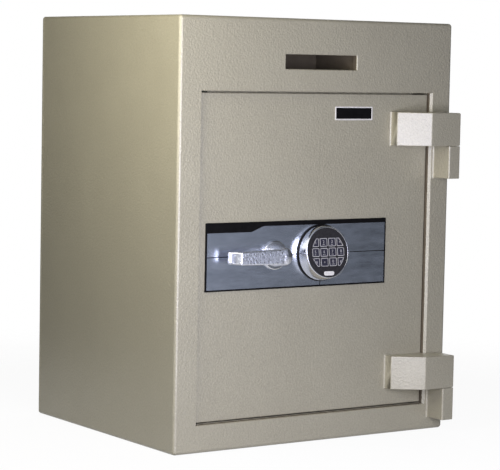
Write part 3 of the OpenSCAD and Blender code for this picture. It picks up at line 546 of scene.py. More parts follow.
class Groups:
    """Shader node groups that several finishes share, each built once."""

    made: dict[str, bpy.types.NodeTree] = {}
    noise_span: tuple[float, float] = (0.3, 0.7)
    noise_detail: float = 2.0
    bend_scale: float = 160.0
    bend_reach: float = 0.004
    cell_softness: float = 0.7
    fine_scale: float = 900.0

    @classmethod
    def start(cls, name: str, inputs: Sequence[tuple[str, str, object]], output: str) -> Graph:
        """Makes an empty group with its sockets.

        Args:
            name: name of the group.
            inputs: name, kind and default of each input.
            output: name of its one output.

        Returns:
            The graph of the new group.
        """
        tree = bpy.data.node_groups.new(name, "ShaderNodeTree")
        cls.made[name] = tree
        for title, kind, value in inputs:
            socket_type = "NodeSocket" + kind
            socket = tree.interface.new_socket(name=title, in_out="INPUT", socket_type=socket_type)
            socket.default_value = value
        tree.interface.new_socket(name=output, in_out="OUTPUT", socket_type="NodeSocketFloat")
        return Graph(tree)

    @classmethod
    def mottle(cls) -> bpy.types.NodeTree:
        """Builds the group for cloudy variation when it is first asked for.

        Value is Low plus (High - Low) times noise on Object coordinates, which Stretch squeezes
        along each axis.

        Returns:
            The group.
        """
        if "mottle" in cls.made:
            return cls.made["mottle"]
        inputs = [
            ("Scale", "Float", 30.0),
            ("Detail", "Float", 3.0),
            ("Stretch", "Vector", (1.0, 1.0, 1.0)),
            ("Low", "Float", 0.0),
            ("High", "Float", 1.0),
        ]
        graph = cls.start("mottle", inputs, "Value")
        entry = graph.node("NodeGroupInput").outputs
        where = graph.node("ShaderNodeTexCoord").outputs["Object"]
        mapped = graph.node(
            "ShaderNodeVectorMath", {0: where, 1: entry["Stretch"]}, operation="MULTIPLY"
        )
        noise = graph.node(
            "ShaderNodeTexNoise",
            {"Vector": mapped.outputs[0], "Scale": entry["Scale"], "Detail": entry["Detail"]},
        )
        ranged = graph.node(
            "ShaderNodeMapRange",
            {
                "Value": noise.outputs["Fac"],
                "From Min": cls.noise_span[0],
                "From Max": cls.noise_span[1],
                "To Min": entry["Low"],
                "To Max": entry["High"],
            },
        )
        graph.node("NodeGroupOutput", {"Value": ranged.outputs["Result"]})
        return cls.made["mottle"]

    @classmethod
    def hammer(cls) -> bpy.types.NodeTree:
        """Builds the group for hammered relief when it is first asked for.

        Height is the smooth distance to the nearest point of Voronoi cells that noise bends, plus
        a little fine noise.

        Returns:
            The group.
        """
        if "hammer" in cls.made:
            return cls.made["hammer"]
        graph = cls.start("hammer", [("Cells", "Float", 320.0), ("Fine", "Float", 0.25)], "Height")
        entry = graph.node("NodeGroupInput").outputs
        where = graph.node("ShaderNodeTexCoord").outputs["Object"]
        bend, grain = (
            graph.node(
                "ShaderNodeTexNoise", {"Vector": where, "Scale": scale, "Detail": cls.noise_detail}
            )
            for scale in (cls.bend_scale, cls.fine_scale)
        )
        small = graph.node(
            "ShaderNodeVectorMath",
            {0: bend.outputs["Color"], "Scale": cls.bend_reach},
            operation="SCALE",
        )
        moved = graph.node("ShaderNodeVectorMath", {0: where, 1: small.outputs[0]}, operation="ADD")
        cells = graph.node(
            "ShaderNodeTexVoronoi",
            {
                "Vector": moved.outputs[0],
                "Scale": entry["Cells"],
                "Smoothness": cls.cell_softness,
            },
            feature="SMOOTH_F1",
        )
        share = graph.maths("MULTIPLY", grain.outputs["Fac"], entry["Fine"])
        height = graph.maths("ADD", cells.outputs["Distance"], share)
        graph.node("NodeGroupOutput", {"Height": height})
        return cls.made["hammer"]


@dataclass(frozen=True)
class Finish:
    """One surface finish: two close tones with fine specks, gloss that wanders, and a relief."""

    name: str
    tone: Colour
    other: Colour
    metallic: float = 0.0
    specular: float = 0.5
    gloss: tuple[float, float] = (0.3, 0.4)
    cloud: float = 25.0
    stretch: tuple[float, float, float] = (1.0, 1.0, 1.0)
    speck: float = 400.0
    speck_depth: float = 0.05
    cells: float = 0.0
    fine: float = 0.25
    grain: float = 0.0
    relief: float = 0.0002
    strength: float = 0.5
    coat: float = 0.0
    coat_roughness: float = 0.2
    gloss_finer: ClassVar[float] = 2.3
    built: ClassVar[dict[str, bpy.types.Material]] = {}

    def material(self) -> bpy.types.Material:
        """Builds the material when it is first asked for.

        Returns:
            The material.
        """
        if self.name in self.built:
            return self.built[self.name]
        made = bpy.data.materials.new(self.name)
        self.built[self.name] = made
        made.use_nodes = True
        graph = Graph(made.node_tree)
        cloud = graph.group(Groups.mottle(), Scale=self.cloud, Stretch=self.stretch)
        tint = graph.blend(cloud, (*self.tone, 1.0), (*self.other, 1.0))
        specks = graph.group(
            Groups.mottle(), Scale=self.speck, Stretch=self.stretch,
            Low=1 - self.speck_depth, High=1 + self.speck_depth,
        )
        rough = graph.group(
            Groups.mottle(), Scale=self.cloud * self.gloss_finer, Stretch=self.stretch,
            Low=self.gloss[0], High=self.gloss[1],
        )
        shader = graph.node(
            "ShaderNodeBsdfPrincipled",
            {
                "Base Color": graph.blend(1.0, tint, specks, "MULTIPLY"),
                "Metallic": self.metallic,
                "Roughness": rough,
                "Specular IOR Level": self.specular,
                "Coat Weight": self.coat,
                "Coat Roughness": self.coat_roughness,
            },
        )
        height = self._height(graph)
        if height is not None:
            bump = graph.node(
                "ShaderNodeBump",
                {"Height": height, "Strength": self.strength, "Distance": self.relief},
            )
            made.node_tree.links.new(bump.outputs["Normal"], shader.inputs["Normal"])
        graph.node("ShaderNodeOutputMaterial", {"Surface": shader.outputs["BSDF"]})
        return made

    def _height(self, graph: Graph) -> bpy.types.NodeSocket | None:
        """Adds the relief: hammered cells, a stretched grain, or none.

        Args:
            graph: graph of the material.

        Returns:
            The relief's height, or None for a smooth surface.
        """
        if self.cells:
            return graph.group(Groups.hammer(), Cells=self.cells, Fine=self.fine)
        if self.grain:
            return graph.group(Groups.mottle(), Scale=self.grain, Stretch=self.stretch)
        return None


PAINT = Finish(
    "hammertone_paint", (0.362, 0.332, 0.234), (0.378, 0.348, 0.246), metallic=0.2,
    gloss=(0.48, 0.56), cloud=12.0, speck=420.0, speck_depth=0.09, cells=330.0, fine=0.6,
    relief=0.0006, strength=0.75, coat=1.0, coat_roughness=0.36,
)
# Painted shade: a dark brown finish for the chute and for the walls behind the opening's bevel and
# the slot's edge, where shade falls.
PAINTED_SHADE = Finish(
    "painted_shade_dark", (0.118, 0.096, 0.064), (0.145, 0.118, 0.080), gloss=(0.5, 0.62), cloud=40.0,
    speck=700.0, grain=700.0, relief=0.0001, strength=0.4, specular=0.35,
)
ZINC = Finish(
    "zinc_plate", (0.50, 0.51, 0.52), (0.60, 0.60, 0.59), metallic=1.0, gloss=(0.28, 0.42),
    cloud=60.0, grain=500.0, relief=0.00005, strength=0.3,
)
CHROME = Finish(
    "mirror_chrome", (0.62, 0.62, 0.63), (0.68, 0.68, 0.69), metallic=1.0, gloss=(0.17, 0.22),
    cloud=70.0, speck_depth=0.02, grain=90.0, relief=0.000005, strength=0.02,
)
CAST_CHROME = Finish(
    "cast_chrome", (0.62, 0.63, 0.68), (0.78, 0.79, 0.84), metallic=1.0, gloss=(0.24, 0.38),
    cloud=240.0, speck=520.0, speck_depth=0.16, cells=380.0, fine=0.5, relief=0.0007, strength=0.75,
)
SHEET = Finish(
    "bright_sheet", (0.60, 0.63, 0.69), (0.66, 0.69, 0.75), metallic=1.0, gloss=(0.19, 0.26),
    cloud=22.0, stretch=(0.5, 1.0, 2.0), speck=150.0, speck_depth=0.05, grain=240.0,
    relief=0.00003, strength=0.12,
)
BLACK = Finish(
    "satin_black", (0.0032, 0.0030, 0.0030), (0.0055, 0.0050, 0.0052), specular=0.08,
    gloss=(0.38, 0.5), cloud=120.0, grain=1500.0, relief=0.0001, strength=0.35,
)
PEBBLE = Finish(
    "pebbled_black", (0.017, 0.016, 0.016), (0.030, 0.028, 0.028), specular=0.2,
    gloss=(0.42, 0.55), cloud=300.0, speck=900.0, speck_depth=0.25, cells=1100.0, relief=0.0003,
    strength=0.8,
)
KEY = Finish(
    "key_black", (0.022, 0.021, 0.032), (0.032, 0.031, 0.044), specular=0.35,
    gloss=(0.30, 0.42), cloud=200.0, grain=1800.0, relief=0.00005, strength=0.2,
)
# Painted highlight: the pale ring on each key's rounded edge.
KEY_EDGE_HIGHLIGHT = Finish(
    "painted_key_edge_highlight", (0.44, 0.43, 0.40), (0.52, 0.51, 0.47), gloss=(0.35, 0.5), cloud=300.0,
    grain=2000.0, relief=0.00003, strength=0.2,
)
FIGURE = Finish(
    "grey_figure", (0.38, 0.37, 0.36), (0.46, 0.45, 0.43), gloss=(0.35, 0.5), cloud=300.0,
    grain=2000.0, relief=0.00003, strength=0.2,
)
PALE = Finish(
    "silver_white", (0.68, 0.66, 0.59), (0.76, 0.74, 0.67), gloss=(0.22, 0.32), cloud=90.0,
    grain=900.0, relief=0.00003, strength=0.2,
)
LACQUER = Finish(
    "green_lacquer", (0.012, 0.075, 0.030), (0.03, 0.14, 0.05), gloss=(0.2, 0.35), cloud=420.0,
    cells=500.0, relief=0.0001, strength=0.4,
)
BRONZE = Finish(
    "turned_bronze", (0.52, 0.33, 0.14), (0.62, 0.42, 0.2), metallic=1.0, gloss=(0.25, 0.38),
    cloud=80.0, grain=700.0, relief=0.00004, strength=0.25,
)
SLOT_FINISH = {
    "hammer_paint": PAINT,
    # The record's dark_primer slot takes the painted shade finish.
    "dark_primer": PAINTED_SHADE,
    "zinc_steel": ZINC,
    "polished_chrome": CHROME,
    "bright_steel": SHEET,
    "bearing_bronze": BRONZE,
    "black_plastic": BLACK,
    "key_plastic": KEY,
    "pale_plastic": PALE,
    "circuit_board": LACQUER,
}
NODE_FINISH = {"keypad_face": PEBBLE}


@dataclass
class Cabinet:
    """The fixed box: its front frame, with a wide bevel on the hinge side of the opening.

    The hammertone paint stops at the bevel and at the slot's round edge; the walls behind are
    painted shade, dark where shade falls.
    """

    door_gap: float = 2.4 * MM
    hinge_gap: float = 1.1 * MM
    edge_r: float = 5 * MM
    corner_r: float = 5.01 * MM
    bevel: float = 3.4 * MM
    soft: float = 0.5 * MM
    slot_r: float = 2.0 * MM
    slot_h: float = 21.5 * MM
    slot_corner: float = 1.0 * MM
    opening_corner: float = 0.4 * MM
    chute_margin: float = 4 * MM

    def build(self) -> None:
        """Makes the front frame."""
        lo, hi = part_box("front_frame")
        door_lo, door_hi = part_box("door_plate")
        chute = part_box("deposit_chute")
        outer = rounded_rect((lo.x, lo.z), (hi.x, hi.z), self.corner_r)
        low = np.array([door_lo.x - self.door_gap, door_lo.z - self.door_gap])
        high = np.array([door_hi.x + self.hinge_gap, door_hi.z + self.door_gap])
        slot_top = chute[1].z - self.chute_margin
        slot = rounded_rect(
            (chute[0].x + self.chute_margin, slot_top - self.slot_h),
            (chute[1].x - self.chute_margin, slot_top),
            self.slot_corner, 3,
        )[::-1]
        far = high + np.array([self.bevel, self.soft])
        wide = rounded_rect(low - self.soft, far, self.opening_corner, 3)[::-1]
        opening = rounded_rect(low, high, self.opening_corner, 3)[::-1]
        place = place_along(Along.Y)
        depths = ((wide, lo.y), (opening, lo.y + self.bevel), (opening, hi.y))
        rings = np.stack([place(at_depth(loop, y)) for loop, y in depths])
        skin = Skin()
        skin.grid(rings[:2])
        # The wall behind the bevel takes slot 1, the painted shade finish.
        skin.grid(rings[1:], slot=1)
        shifts, turns = quarter_round(self.slot_r, 6)
        lip = place(np.stack([*inset_rings(slot, shifts, lo.y + turns), at_depth(slot, hi.y)]))
        skin.grid(lip[:-1])
        # The slot's wall behind its round edge takes slot 1, the painted shade finish.
        skin.grid(lip[-2:], slot=1)
        skin.prism(
            [(outer, self.edge_r, 0.0)], (lo.y, hi.y), place, steps=6,
            also=[(rings[0], rings[-1]), (lip[0], lip[-1])],
        )
        skin.fit("front_frame_skin", [PAINT, PAINTED_SHADE], "cabinet", "hammer_paint", "front_frame")


class WeldPath(Enum):
    """The walls that a weld bead runs along, as outward directions in X and Z."""

    STRAP = ((0, 1), (-1, 0), (0, -1))
    KNUCKLE = ((-1, 0), (0, -1), (1, 0))


@dataclass
class Hinges:
    """The four hinge blocks with round edges and rippled weld beads."""

    leg: float = 4.4 * MM
    bead_r: float = 3.0 * MM
    end_h: float = 15.2 * MM
    flat_l: float = 56.4 * MM
    back_gap: float = 1.5 * MM
    back_bevel: float = 6.5 * MM
    strap_arm: float = 10 * MM
    edge_r: float = 1.2 * MM
    corner_r: float = 3.2 * MM
    nose_r: float = 2.4 * MM
    meeting_r: float = 0.8 * MM
    play: float = 0.4 * MM
    ripple: float = 0.14 * MM
    ripple_pitch: float = 3.2 * MM
    near: float = 0.1 * MM
    aligned: float = 0.9
    sides: Sequence[str] = ("upper", "lower")

    def build(self) -> None:
        """Makes both blocks of both hinges."""
        for side in self.sides:
            self.knuckle(side)
            self.strap(side)

    def bead(
        self, name: str, body: str, corners: np.ndarray, outward: WeldPath, wall_y: float
    ) -> None:
        """Carries a hollow fillet along a path of three runs, turning round its corners.

        A section at path point p, with outward direction d, holds the points
        p + r ((1 - sin a) d - (1 - cos a) Y) for a from 0 to 90 degrees, and p itself. The radius
        r is bead_r less a small wave along the run.

        Args:
            name: name of the piece.
            body: body that it rides on.
            corners: four points of the path, in X and Z.
            outward: outward directions of the three runs.
            wall_y: Y of the face that the wall stands on.
        """
        mids, ways = [], []
        walls = np.array(outward.value, float)
        for i, way in enumerate(walls):
            a, b = corners[i], corners[i + 1]
            count = max(4, int(np.linalg.norm(b - a) / (self.ripple_pitch / 4)))
            share = np.linspace(0, 1, count + 1)[:, None]
            mids.append(a + (b - a) * share)
            ways.append(np.repeat(way[None], count + 1, axis=0))
            if i + 1 < len(walls):
                turn = np.linspace(0, 1, 7)[1:-1, None]
                mixed = (1 - turn) * way + turn * walls[i + 1]
                ways.append(mixed / np.linalg.norm(mixed, axis=1, keepdims=True))
                mids.append(np.repeat(b[None], len(turn), axis=0))
        mid, way = np.concatenate(mids), np.concatenate(ways)
        outer = mid + self.bead_r * way
        run = np.concatenate([[0.0], np.cumsum(np.linalg.norm(np.diff(outer, axis=0), axis=1))])
        radius = self.bead_r - self.ripple * (1 + np.cos(2 * math.pi * run / self.ripple_pitch))
        reach, rise = quarter_round(radius[:, None], 6)
        points = np.stack(
            [mid[:, :1] + reach * way[:, :1], wall_y - rise, mid[:, 1:] + reach * way[:, 1:]],
            axis=-1,
        )
        centre = np.stack([mid[:, 0], np.full(len(mid), wall_y), mid[:, 1]], axis=-1)[:, None]
        section = np.concatenate([points, centre], axis=1)
        skin = Skin()
        skin.grid(section)
        skin.cap(section[0])
        skin.cap(section[-1])
        skin.fit(name, [PAINT], body, "hammer_paint")

    def knuckle(self, side: str) -> None:
        """Makes the block on the frame.

        Args:
            side: upper or lower.
        """
        node = f"knuckle_{side}"
        lo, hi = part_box(node)
        x0, x1, z0 = lo.x + self.leg, hi.x - self.leg, lo.z + self.leg
        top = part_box(f"strap_{side}")[0].z + self.leg - self.play
        plan = np.array([[x0, lo.y], [x1, lo.y], [x1, hi.y], [x0, hi.y]])
        skin = Skin()
        skin.prism([(plan, 0.0, 0.0)], (z0, top), place_along(Along.Z), steps=1)

        def rule(mids: np.ndarray, ways: np.ndarray) -> np.ndarray:
            """Wider at the upright left edge, and none where the block stands on the frame.

            Args:
                mids: middles of the edges.
                ways: directions of the edges, without signs.

            Returns:
                The radius of each edge.
            """
            nose = (ways[:, 2] > self.aligned) & (mids[:, 0] < x0 + self.near)
            radii = np.where(nose, self.nose_r, self.edge_r)
            radii = np.where(mids[:, 2] > top - self.near, self.meeting_r, radii)
            return np.where(mids[:, 1] > hi.y - self.near, 0.0, radii)

        skin.fit(node + "_block", [PAINT], "cabinet", "hammer_paint", node, rule=rule)
        corners = np.array([[x0, top - self.edge_r], [x0, z0], [x1, z0], [x1, top - self.edge_r]])
        self.bead(node + "_weld", "cabinet", corners, WeldPath.KNUCKLE, hi.y)

    def strap(self, side: str) -> None:
        """Makes the slanted block on the door.

        Args:
            side: upper or lower.
        """
        node = f"strap_{side}"
        lo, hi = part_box(node)
        face_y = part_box("door_plate")[0].y
        door_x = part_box("door_plate")[1].x
        x0, z0, z1 = lo.x + self.leg, lo.z + self.leg, hi.z - self.leg
        frame_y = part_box("front_frame")[0].y
        plan = np.array(
            [
                [x0, face_y],
                [x0, face_y - self.end_h],
                [hi.x - self.flat_l, lo.y],
                [hi.x, lo.y],
                [hi.x, frame_y - self.back_gap - self.back_bevel],
                [hi.x - self.back_bevel, frame_y - self.back_gap],
                [door_x, frame_y - self.back_gap],
                [door_x, face_y],
            ]
        )
        skin = Skin()
        skin.prism([(plan, 0.0, 0.0)], (z0, z1), place_along(Along.Z), steps=1)

        def rule(mids: np.ndarray, ways: np.ndarray) -> np.ndarray:
            """Wide at the free end's corners, and none where the block stands on the door.

            Args:
                mids: middles of the edges.
                ways: directions of the edges, without signs.

            Returns:
                The radius of each edge.
            """
            far = mids[:, 0] > hi.x - self.near
            radii = np.where(mids[:, 2] < z0 + self.near, self.meeting_r, self.edge_r)
            radii = np.where(far & (ways[:, 1] > self.aligned), self.corner_r, radii)
            return np.where(mids[:, 1] > frame_y - self.back_gap - self.near, 0.0, radii)

        skin.fit(node + "_block", [PAINT], "door", "hammer_paint", node, rule=rule)
        corners = np.array(
            [[x0 + self.strap_arm, z1], [x0, z1], [x0, z0], [x0 + self.strap_arm, z0]]
        )
        self.bead(node + "_weld", "door", corners, WeldPath.STRAP, face_y)


@dataclass
class DoorLeaf:
    """The door plate with soft edges, and the bare badge on it."""

    edge_r: float = 1.5 * MM
    corner_r: float = 1.6 * MM
    back_edge: float = 0.5 * MM
    badge_corner: float = 1.2 * MM
    badge_edge: float = 0.35 * MM
    badge_rim: float = 2 * MM
    field_corner: float = 0.6 * MM
    field_edge: float = 0.15 * MM

    def build(self) -> None:
        """Makes the plate and the badge's two parts."""
        lo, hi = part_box("door_plate")
        outer = rounded_rect((lo.x, lo.z), (hi.x, hi.z), self.corner_r, 4)
        skin = Skin()
        skin.prism([(outer, self.edge_r, self.back_edge)], (lo.y, hi.y), place_along(Along.Y))
        skin.fit("door_leaf", [PAINT], "door", "hammer_paint", "door_plate")
        self.badge()

    def badge(self) -> None:
        """Makes the pale rim and the dark bare field inside it."""
        lo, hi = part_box("badge_rim")
        rim = Skin()
        outer = rounded_rect((lo.x, lo.z), (hi.x, hi.z), self.badge_corner, 5)
        w = self.badge_rim
        inner = rounded_rect((lo.x + w, lo.z + w), (hi.x - w, hi.z - w), self.field_corner, 4)[::-1]
        rim.prism(
            [(outer, self.badge_edge, 0.0), (inner, self.badge_edge, 0.0)],
            (lo.y, hi.y), place_along(Along.Y),
        )
        rim.fit("badge_frame", [PALE], "door", "pale_plastic", "badge_rim")
        lo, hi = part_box("badge_field")
        outer = rounded_rect((lo.x, lo.z), (hi.x, hi.z), self.field_corner, 4)
        panel = Skin()
        panel.prism([(outer, self.field_edge, 0.0)], (lo.y, hi.y), place_along(Along.Y))
        panel.fit("badge_panel", [BLACK], "door", "black_plastic", "badge_field")


@dataclass
class TrimSeamShade:
    """Painted shade in the trim's three grooves: dark lines set just below the face of the sheet.

    A fourth, short line has no groove, so it stands slightly proud of the sheet.
    """

    seam_w: float = 1.2 * MM
    corner_r: float = 0.1 * MM
    slack: float = 0.02 * MM
    below: float = 0.2 * MM
    floor: float = 0.8
    left_gap: float = 8 * MM
    right_gap: float = 12 * MM
    short_l: float = 11 * MM
    proud: float = 0.03 * MM

    def build(self) -> None:
        """Makes one piece of the painted shade lines in the three grooves and a short one beside
        the keypad.
        """
        lo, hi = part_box("trim_plate")
        rose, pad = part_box("lever_rose"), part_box("keypad_base")
        seam_z = (rose[0].z + rose[1].z) / 2
        pad_x = (pad[0].x + pad[1].x) / 2
        half = self.seam_w / 2 - self.slack
        pad_r, rise = (pad[1].x - pad[0].x) / 2, seam_z - (pad[0].z + pad[1].z) / 2
        edge_x = pad_x - math.sqrt(pad_r**2 - rise**2)
        front, back = lo.y + self.below, lo.y + self.floor * (hi.y - lo.y)
        lines = [
            ((lo.x, seam_z - half), (rose[0].x - self.left_gap, seam_z + half), front),
            ((pad[1].x + self.right_gap, seam_z - half), (hi.x, seam_z + half), front),
            ((pad_x - half, lo.z), (pad_x + half, pad[0].z), front),
            ((edge_x - self.short_l, seam_z - half), (edge_x, seam_z + half), lo.y - self.proud),
        ]
        # Dark strips that paint the shade in the grooves.
        skin = Skin()
        for low, high, start in lines:
            outline = rounded_rect(low, high, self.corner_r, 2)
            skin.prism([(outline, 0.0, 0.0)], (start, back), place_along(Along.Y), steps=1)
        skin.fit("trim_seam_shade", [BLACK], "door", "black_plastic")


@dataclass
class Handle:
    """The chrome rose and the lever: a tapered hub and a grip whose end returns to the door."""

    hub_r: float = 16.5 * MM
    hub_front_r: float = 12.5 * MM
    hub_edge: float = 3.2 * MM
    hub_foot: float = 0.8 * MM
    dome: float = 2.2 * MM
    dome_from: float = 80.0
    bar_end: float = 5 * MM
    grip_t: float = 14 * MM
    end_t: float = 21 * MM
    end_l: float = 17 * MM
    slant: float = 9 * MM
    tip_h: float = 18 * MM
    root_h: float = 22.5 * MM
    edge_r: float = 1.7 * MM
    corner_r: float = 3 * MM
    heel_r: float = 0.9 * MM
    pocket_front: float = 1.2 * MM
    pocket_back: float = 0.3 * MM
    pocket_side: float = 0.3 * MM
    pocket_wall: float = 0.5 * MM
    pocket_deep: float = 5 * MM
    pocket_lip: float = 0.14
    pocket_points: int = 15
    rose_edge: float = 1.5 * MM
    rose_bore: float = 7.5 * MM

    def build(self) -> None:
        """Makes the rose and the lever."""
        lo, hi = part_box("lever_rose")
        mid = (lo + hi) / 2
        radius = (hi.x - lo.x) / 2
        deep = hi.y - lo.y
        rim = arc((radius - self.rose_edge, deep - self.rose_edge), self.rose_edge, 0, 90, 5)
        bore = self.rose_bore
        profile = np.concatenate([[[bore, 0], [radius, 0]], rim, [[bore, deep]]])
        skin = Skin()
        skin.turned(profile, facing(mid.x, hi.y, mid.z), closed=True)
        skin.fit("rose_ring", [CHROME], "door", "polished_chrome", "lever_rose")
        self.lever(mid.x, mid.z)

    def hub(self, skin: Skin, axis_x: float, back_y: float, axis_z: float, tall: float) -> None:
        """Makes the hub: a cone with a round front edge and a low dome.

        The dome's depth falls with the square of the radius.

        Args:
            skin: where its surface goes.
            axis_x: X of the handle's axis.
            back_y: Y of the hub's back.
            axis_z: Z of the handle's axis.
            tall: length of the hub.
        """
        flat_r = self.hub_front_r - self.hub_edge
        start = (flat_r, tall - self.dome - self.hub_edge)
        edge = arc(start, self.hub_edge, 0, self.dome_from, 7)
        radius = np.linspace(edge[-1, 0], 0, 9)[1:]
        crown = tall - self.dome * (radius / edge[-1, 0]) ** 2
        foot = [[0, 0], [self.hub_r - self.hub_foot, 0], [self.hub_r, self.hub_foot]]
        profile = np.concatenate([foot, edge, np.stack([radius, crown], axis=-1)])
        skin.turned(profile, facing(axis_x, back_y, axis_z))

    def plan(self, lo: Vector, axis_x: float) -> tuple[np.ndarray, np.ndarray, np.ndarray]:
        """Outline of the grip in X and Y, and the hollow in its slanted end face.

        At share s from its front edge the end face lies deeper by the square of s, up to a steep
        lip near the door.

        Args:
            lo: lowest corner of the CAD lever.
            axis_x: X of the handle's axis.

        Returns:
            The outline, how much deeper each of its points lies in the hollow, and the end face's
            unit direction.
        """
        tip = lo.x + self.corner_r
        end_y = lo.y + self.end_t
        inner = lo.x + self.end_l
        front = np.array([tip + self.slant, lo.y + self.corner_r])
        heel = np.array([lo.x + self.heel_r, end_y - self.heel_r])
        across, along = front[0] - heel[0], heel[1] - front[1]
        narrowing = math.asin((self.corner_r - self.heel_r) / math.hypot(across, along))
        lean = 180 + math.degrees(math.atan(across / along) - narrowing)
        front_arc = arc(front, self.corner_r, 270, lean)
        back_arc = arc(heel, self.heel_r, lean, 90)
        start, way = front_arc[-1], back_arc[0] - front_arc[-1]
        length = np.linalg.norm(way)
        way = way / length
        share = np.linspace(0, 1, self.pocket_points)
        run = self.pocket_front + share * (length - self.pocket_front - self.pocket_back)
        pocket = start + run[:, None] * way
        back_y, r = lo.y + self.grip_t, self.corner_r
        bar = np.array([[axis_x - self.bar_end, back_y], [axis_x - self.bar_end, lo.y]])
        outer_bend = arc((inner - r, end_y - r), r, 90, 0)
        inner_bend = arc((inner + r, back_y + r), r, 180, 270)
        plan = np.concatenate([bar, front_arc, pocket, back_arc, outer_bend, inner_bend])
        deep = np.zeros(len(plan))
        first = len(bar) + len(front_arc)
        lip = np.clip((1 - share) / self.pocket_lip, 0, 1)
        deep[first : first + len(pocket)] = self.pocket_deep * share**2 * lip
        return plan[::-1], deep[::-1], way

    def lever(self, axis_x: float, axis_z: float) -> None:
        """Makes the hub and the grip.

        The grip's outline is carried along Z with round edges, and its height grows in a straight
        line from the tip to the hub. Only its two middle rings are moved into the hollow.

        Args:
            axis_x: X of the handle's axis.
            axis_z: Z of the handle's axis.
        """
        lo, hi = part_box("lever_handle")
        skin = Skin()
        self.hub(skin, axis_x, hi.y, axis_z, hi.y - lo.y)
        plan, deep, way = self.plan(lo, axis_x)
        half = self.tip_h / 2
        edge_in, edge_deep = quarter_round(self.edge_r, 5)
        wall = half - self.edge_r - self.pocket_side - np.array([0.0, self.pocket_wall])
        shifts = np.concatenate([edge_in, np.zeros(len(wall))])
        heights = -np.concatenate([half - edge_deep, wall])
        low = len(heights)
        heights = np.concatenate([heights, -heights[::-1]])
        rings = inset_rings(plan, np.concatenate([shifts, shifts[::-1]]), heights)
        rings[low - 1 : low + 1, :, :2] += deep[:, None] * np.array([way[1], -way[0]])
        slope = (self.root_h / self.tip_h - 1) / (axis_x - lo.x)
        rings[..., 2] = axis_z + rings[..., 2] * (1 + slope * (rings[..., 0] - lo.x))
        skin.grid(rings)
        skin.cap(rings[0])
        skin.cap(rings[-1])
        skin.fit("lever_grip", [CAST_CHROME], "handle", "polished_chrome", "lever_handle")


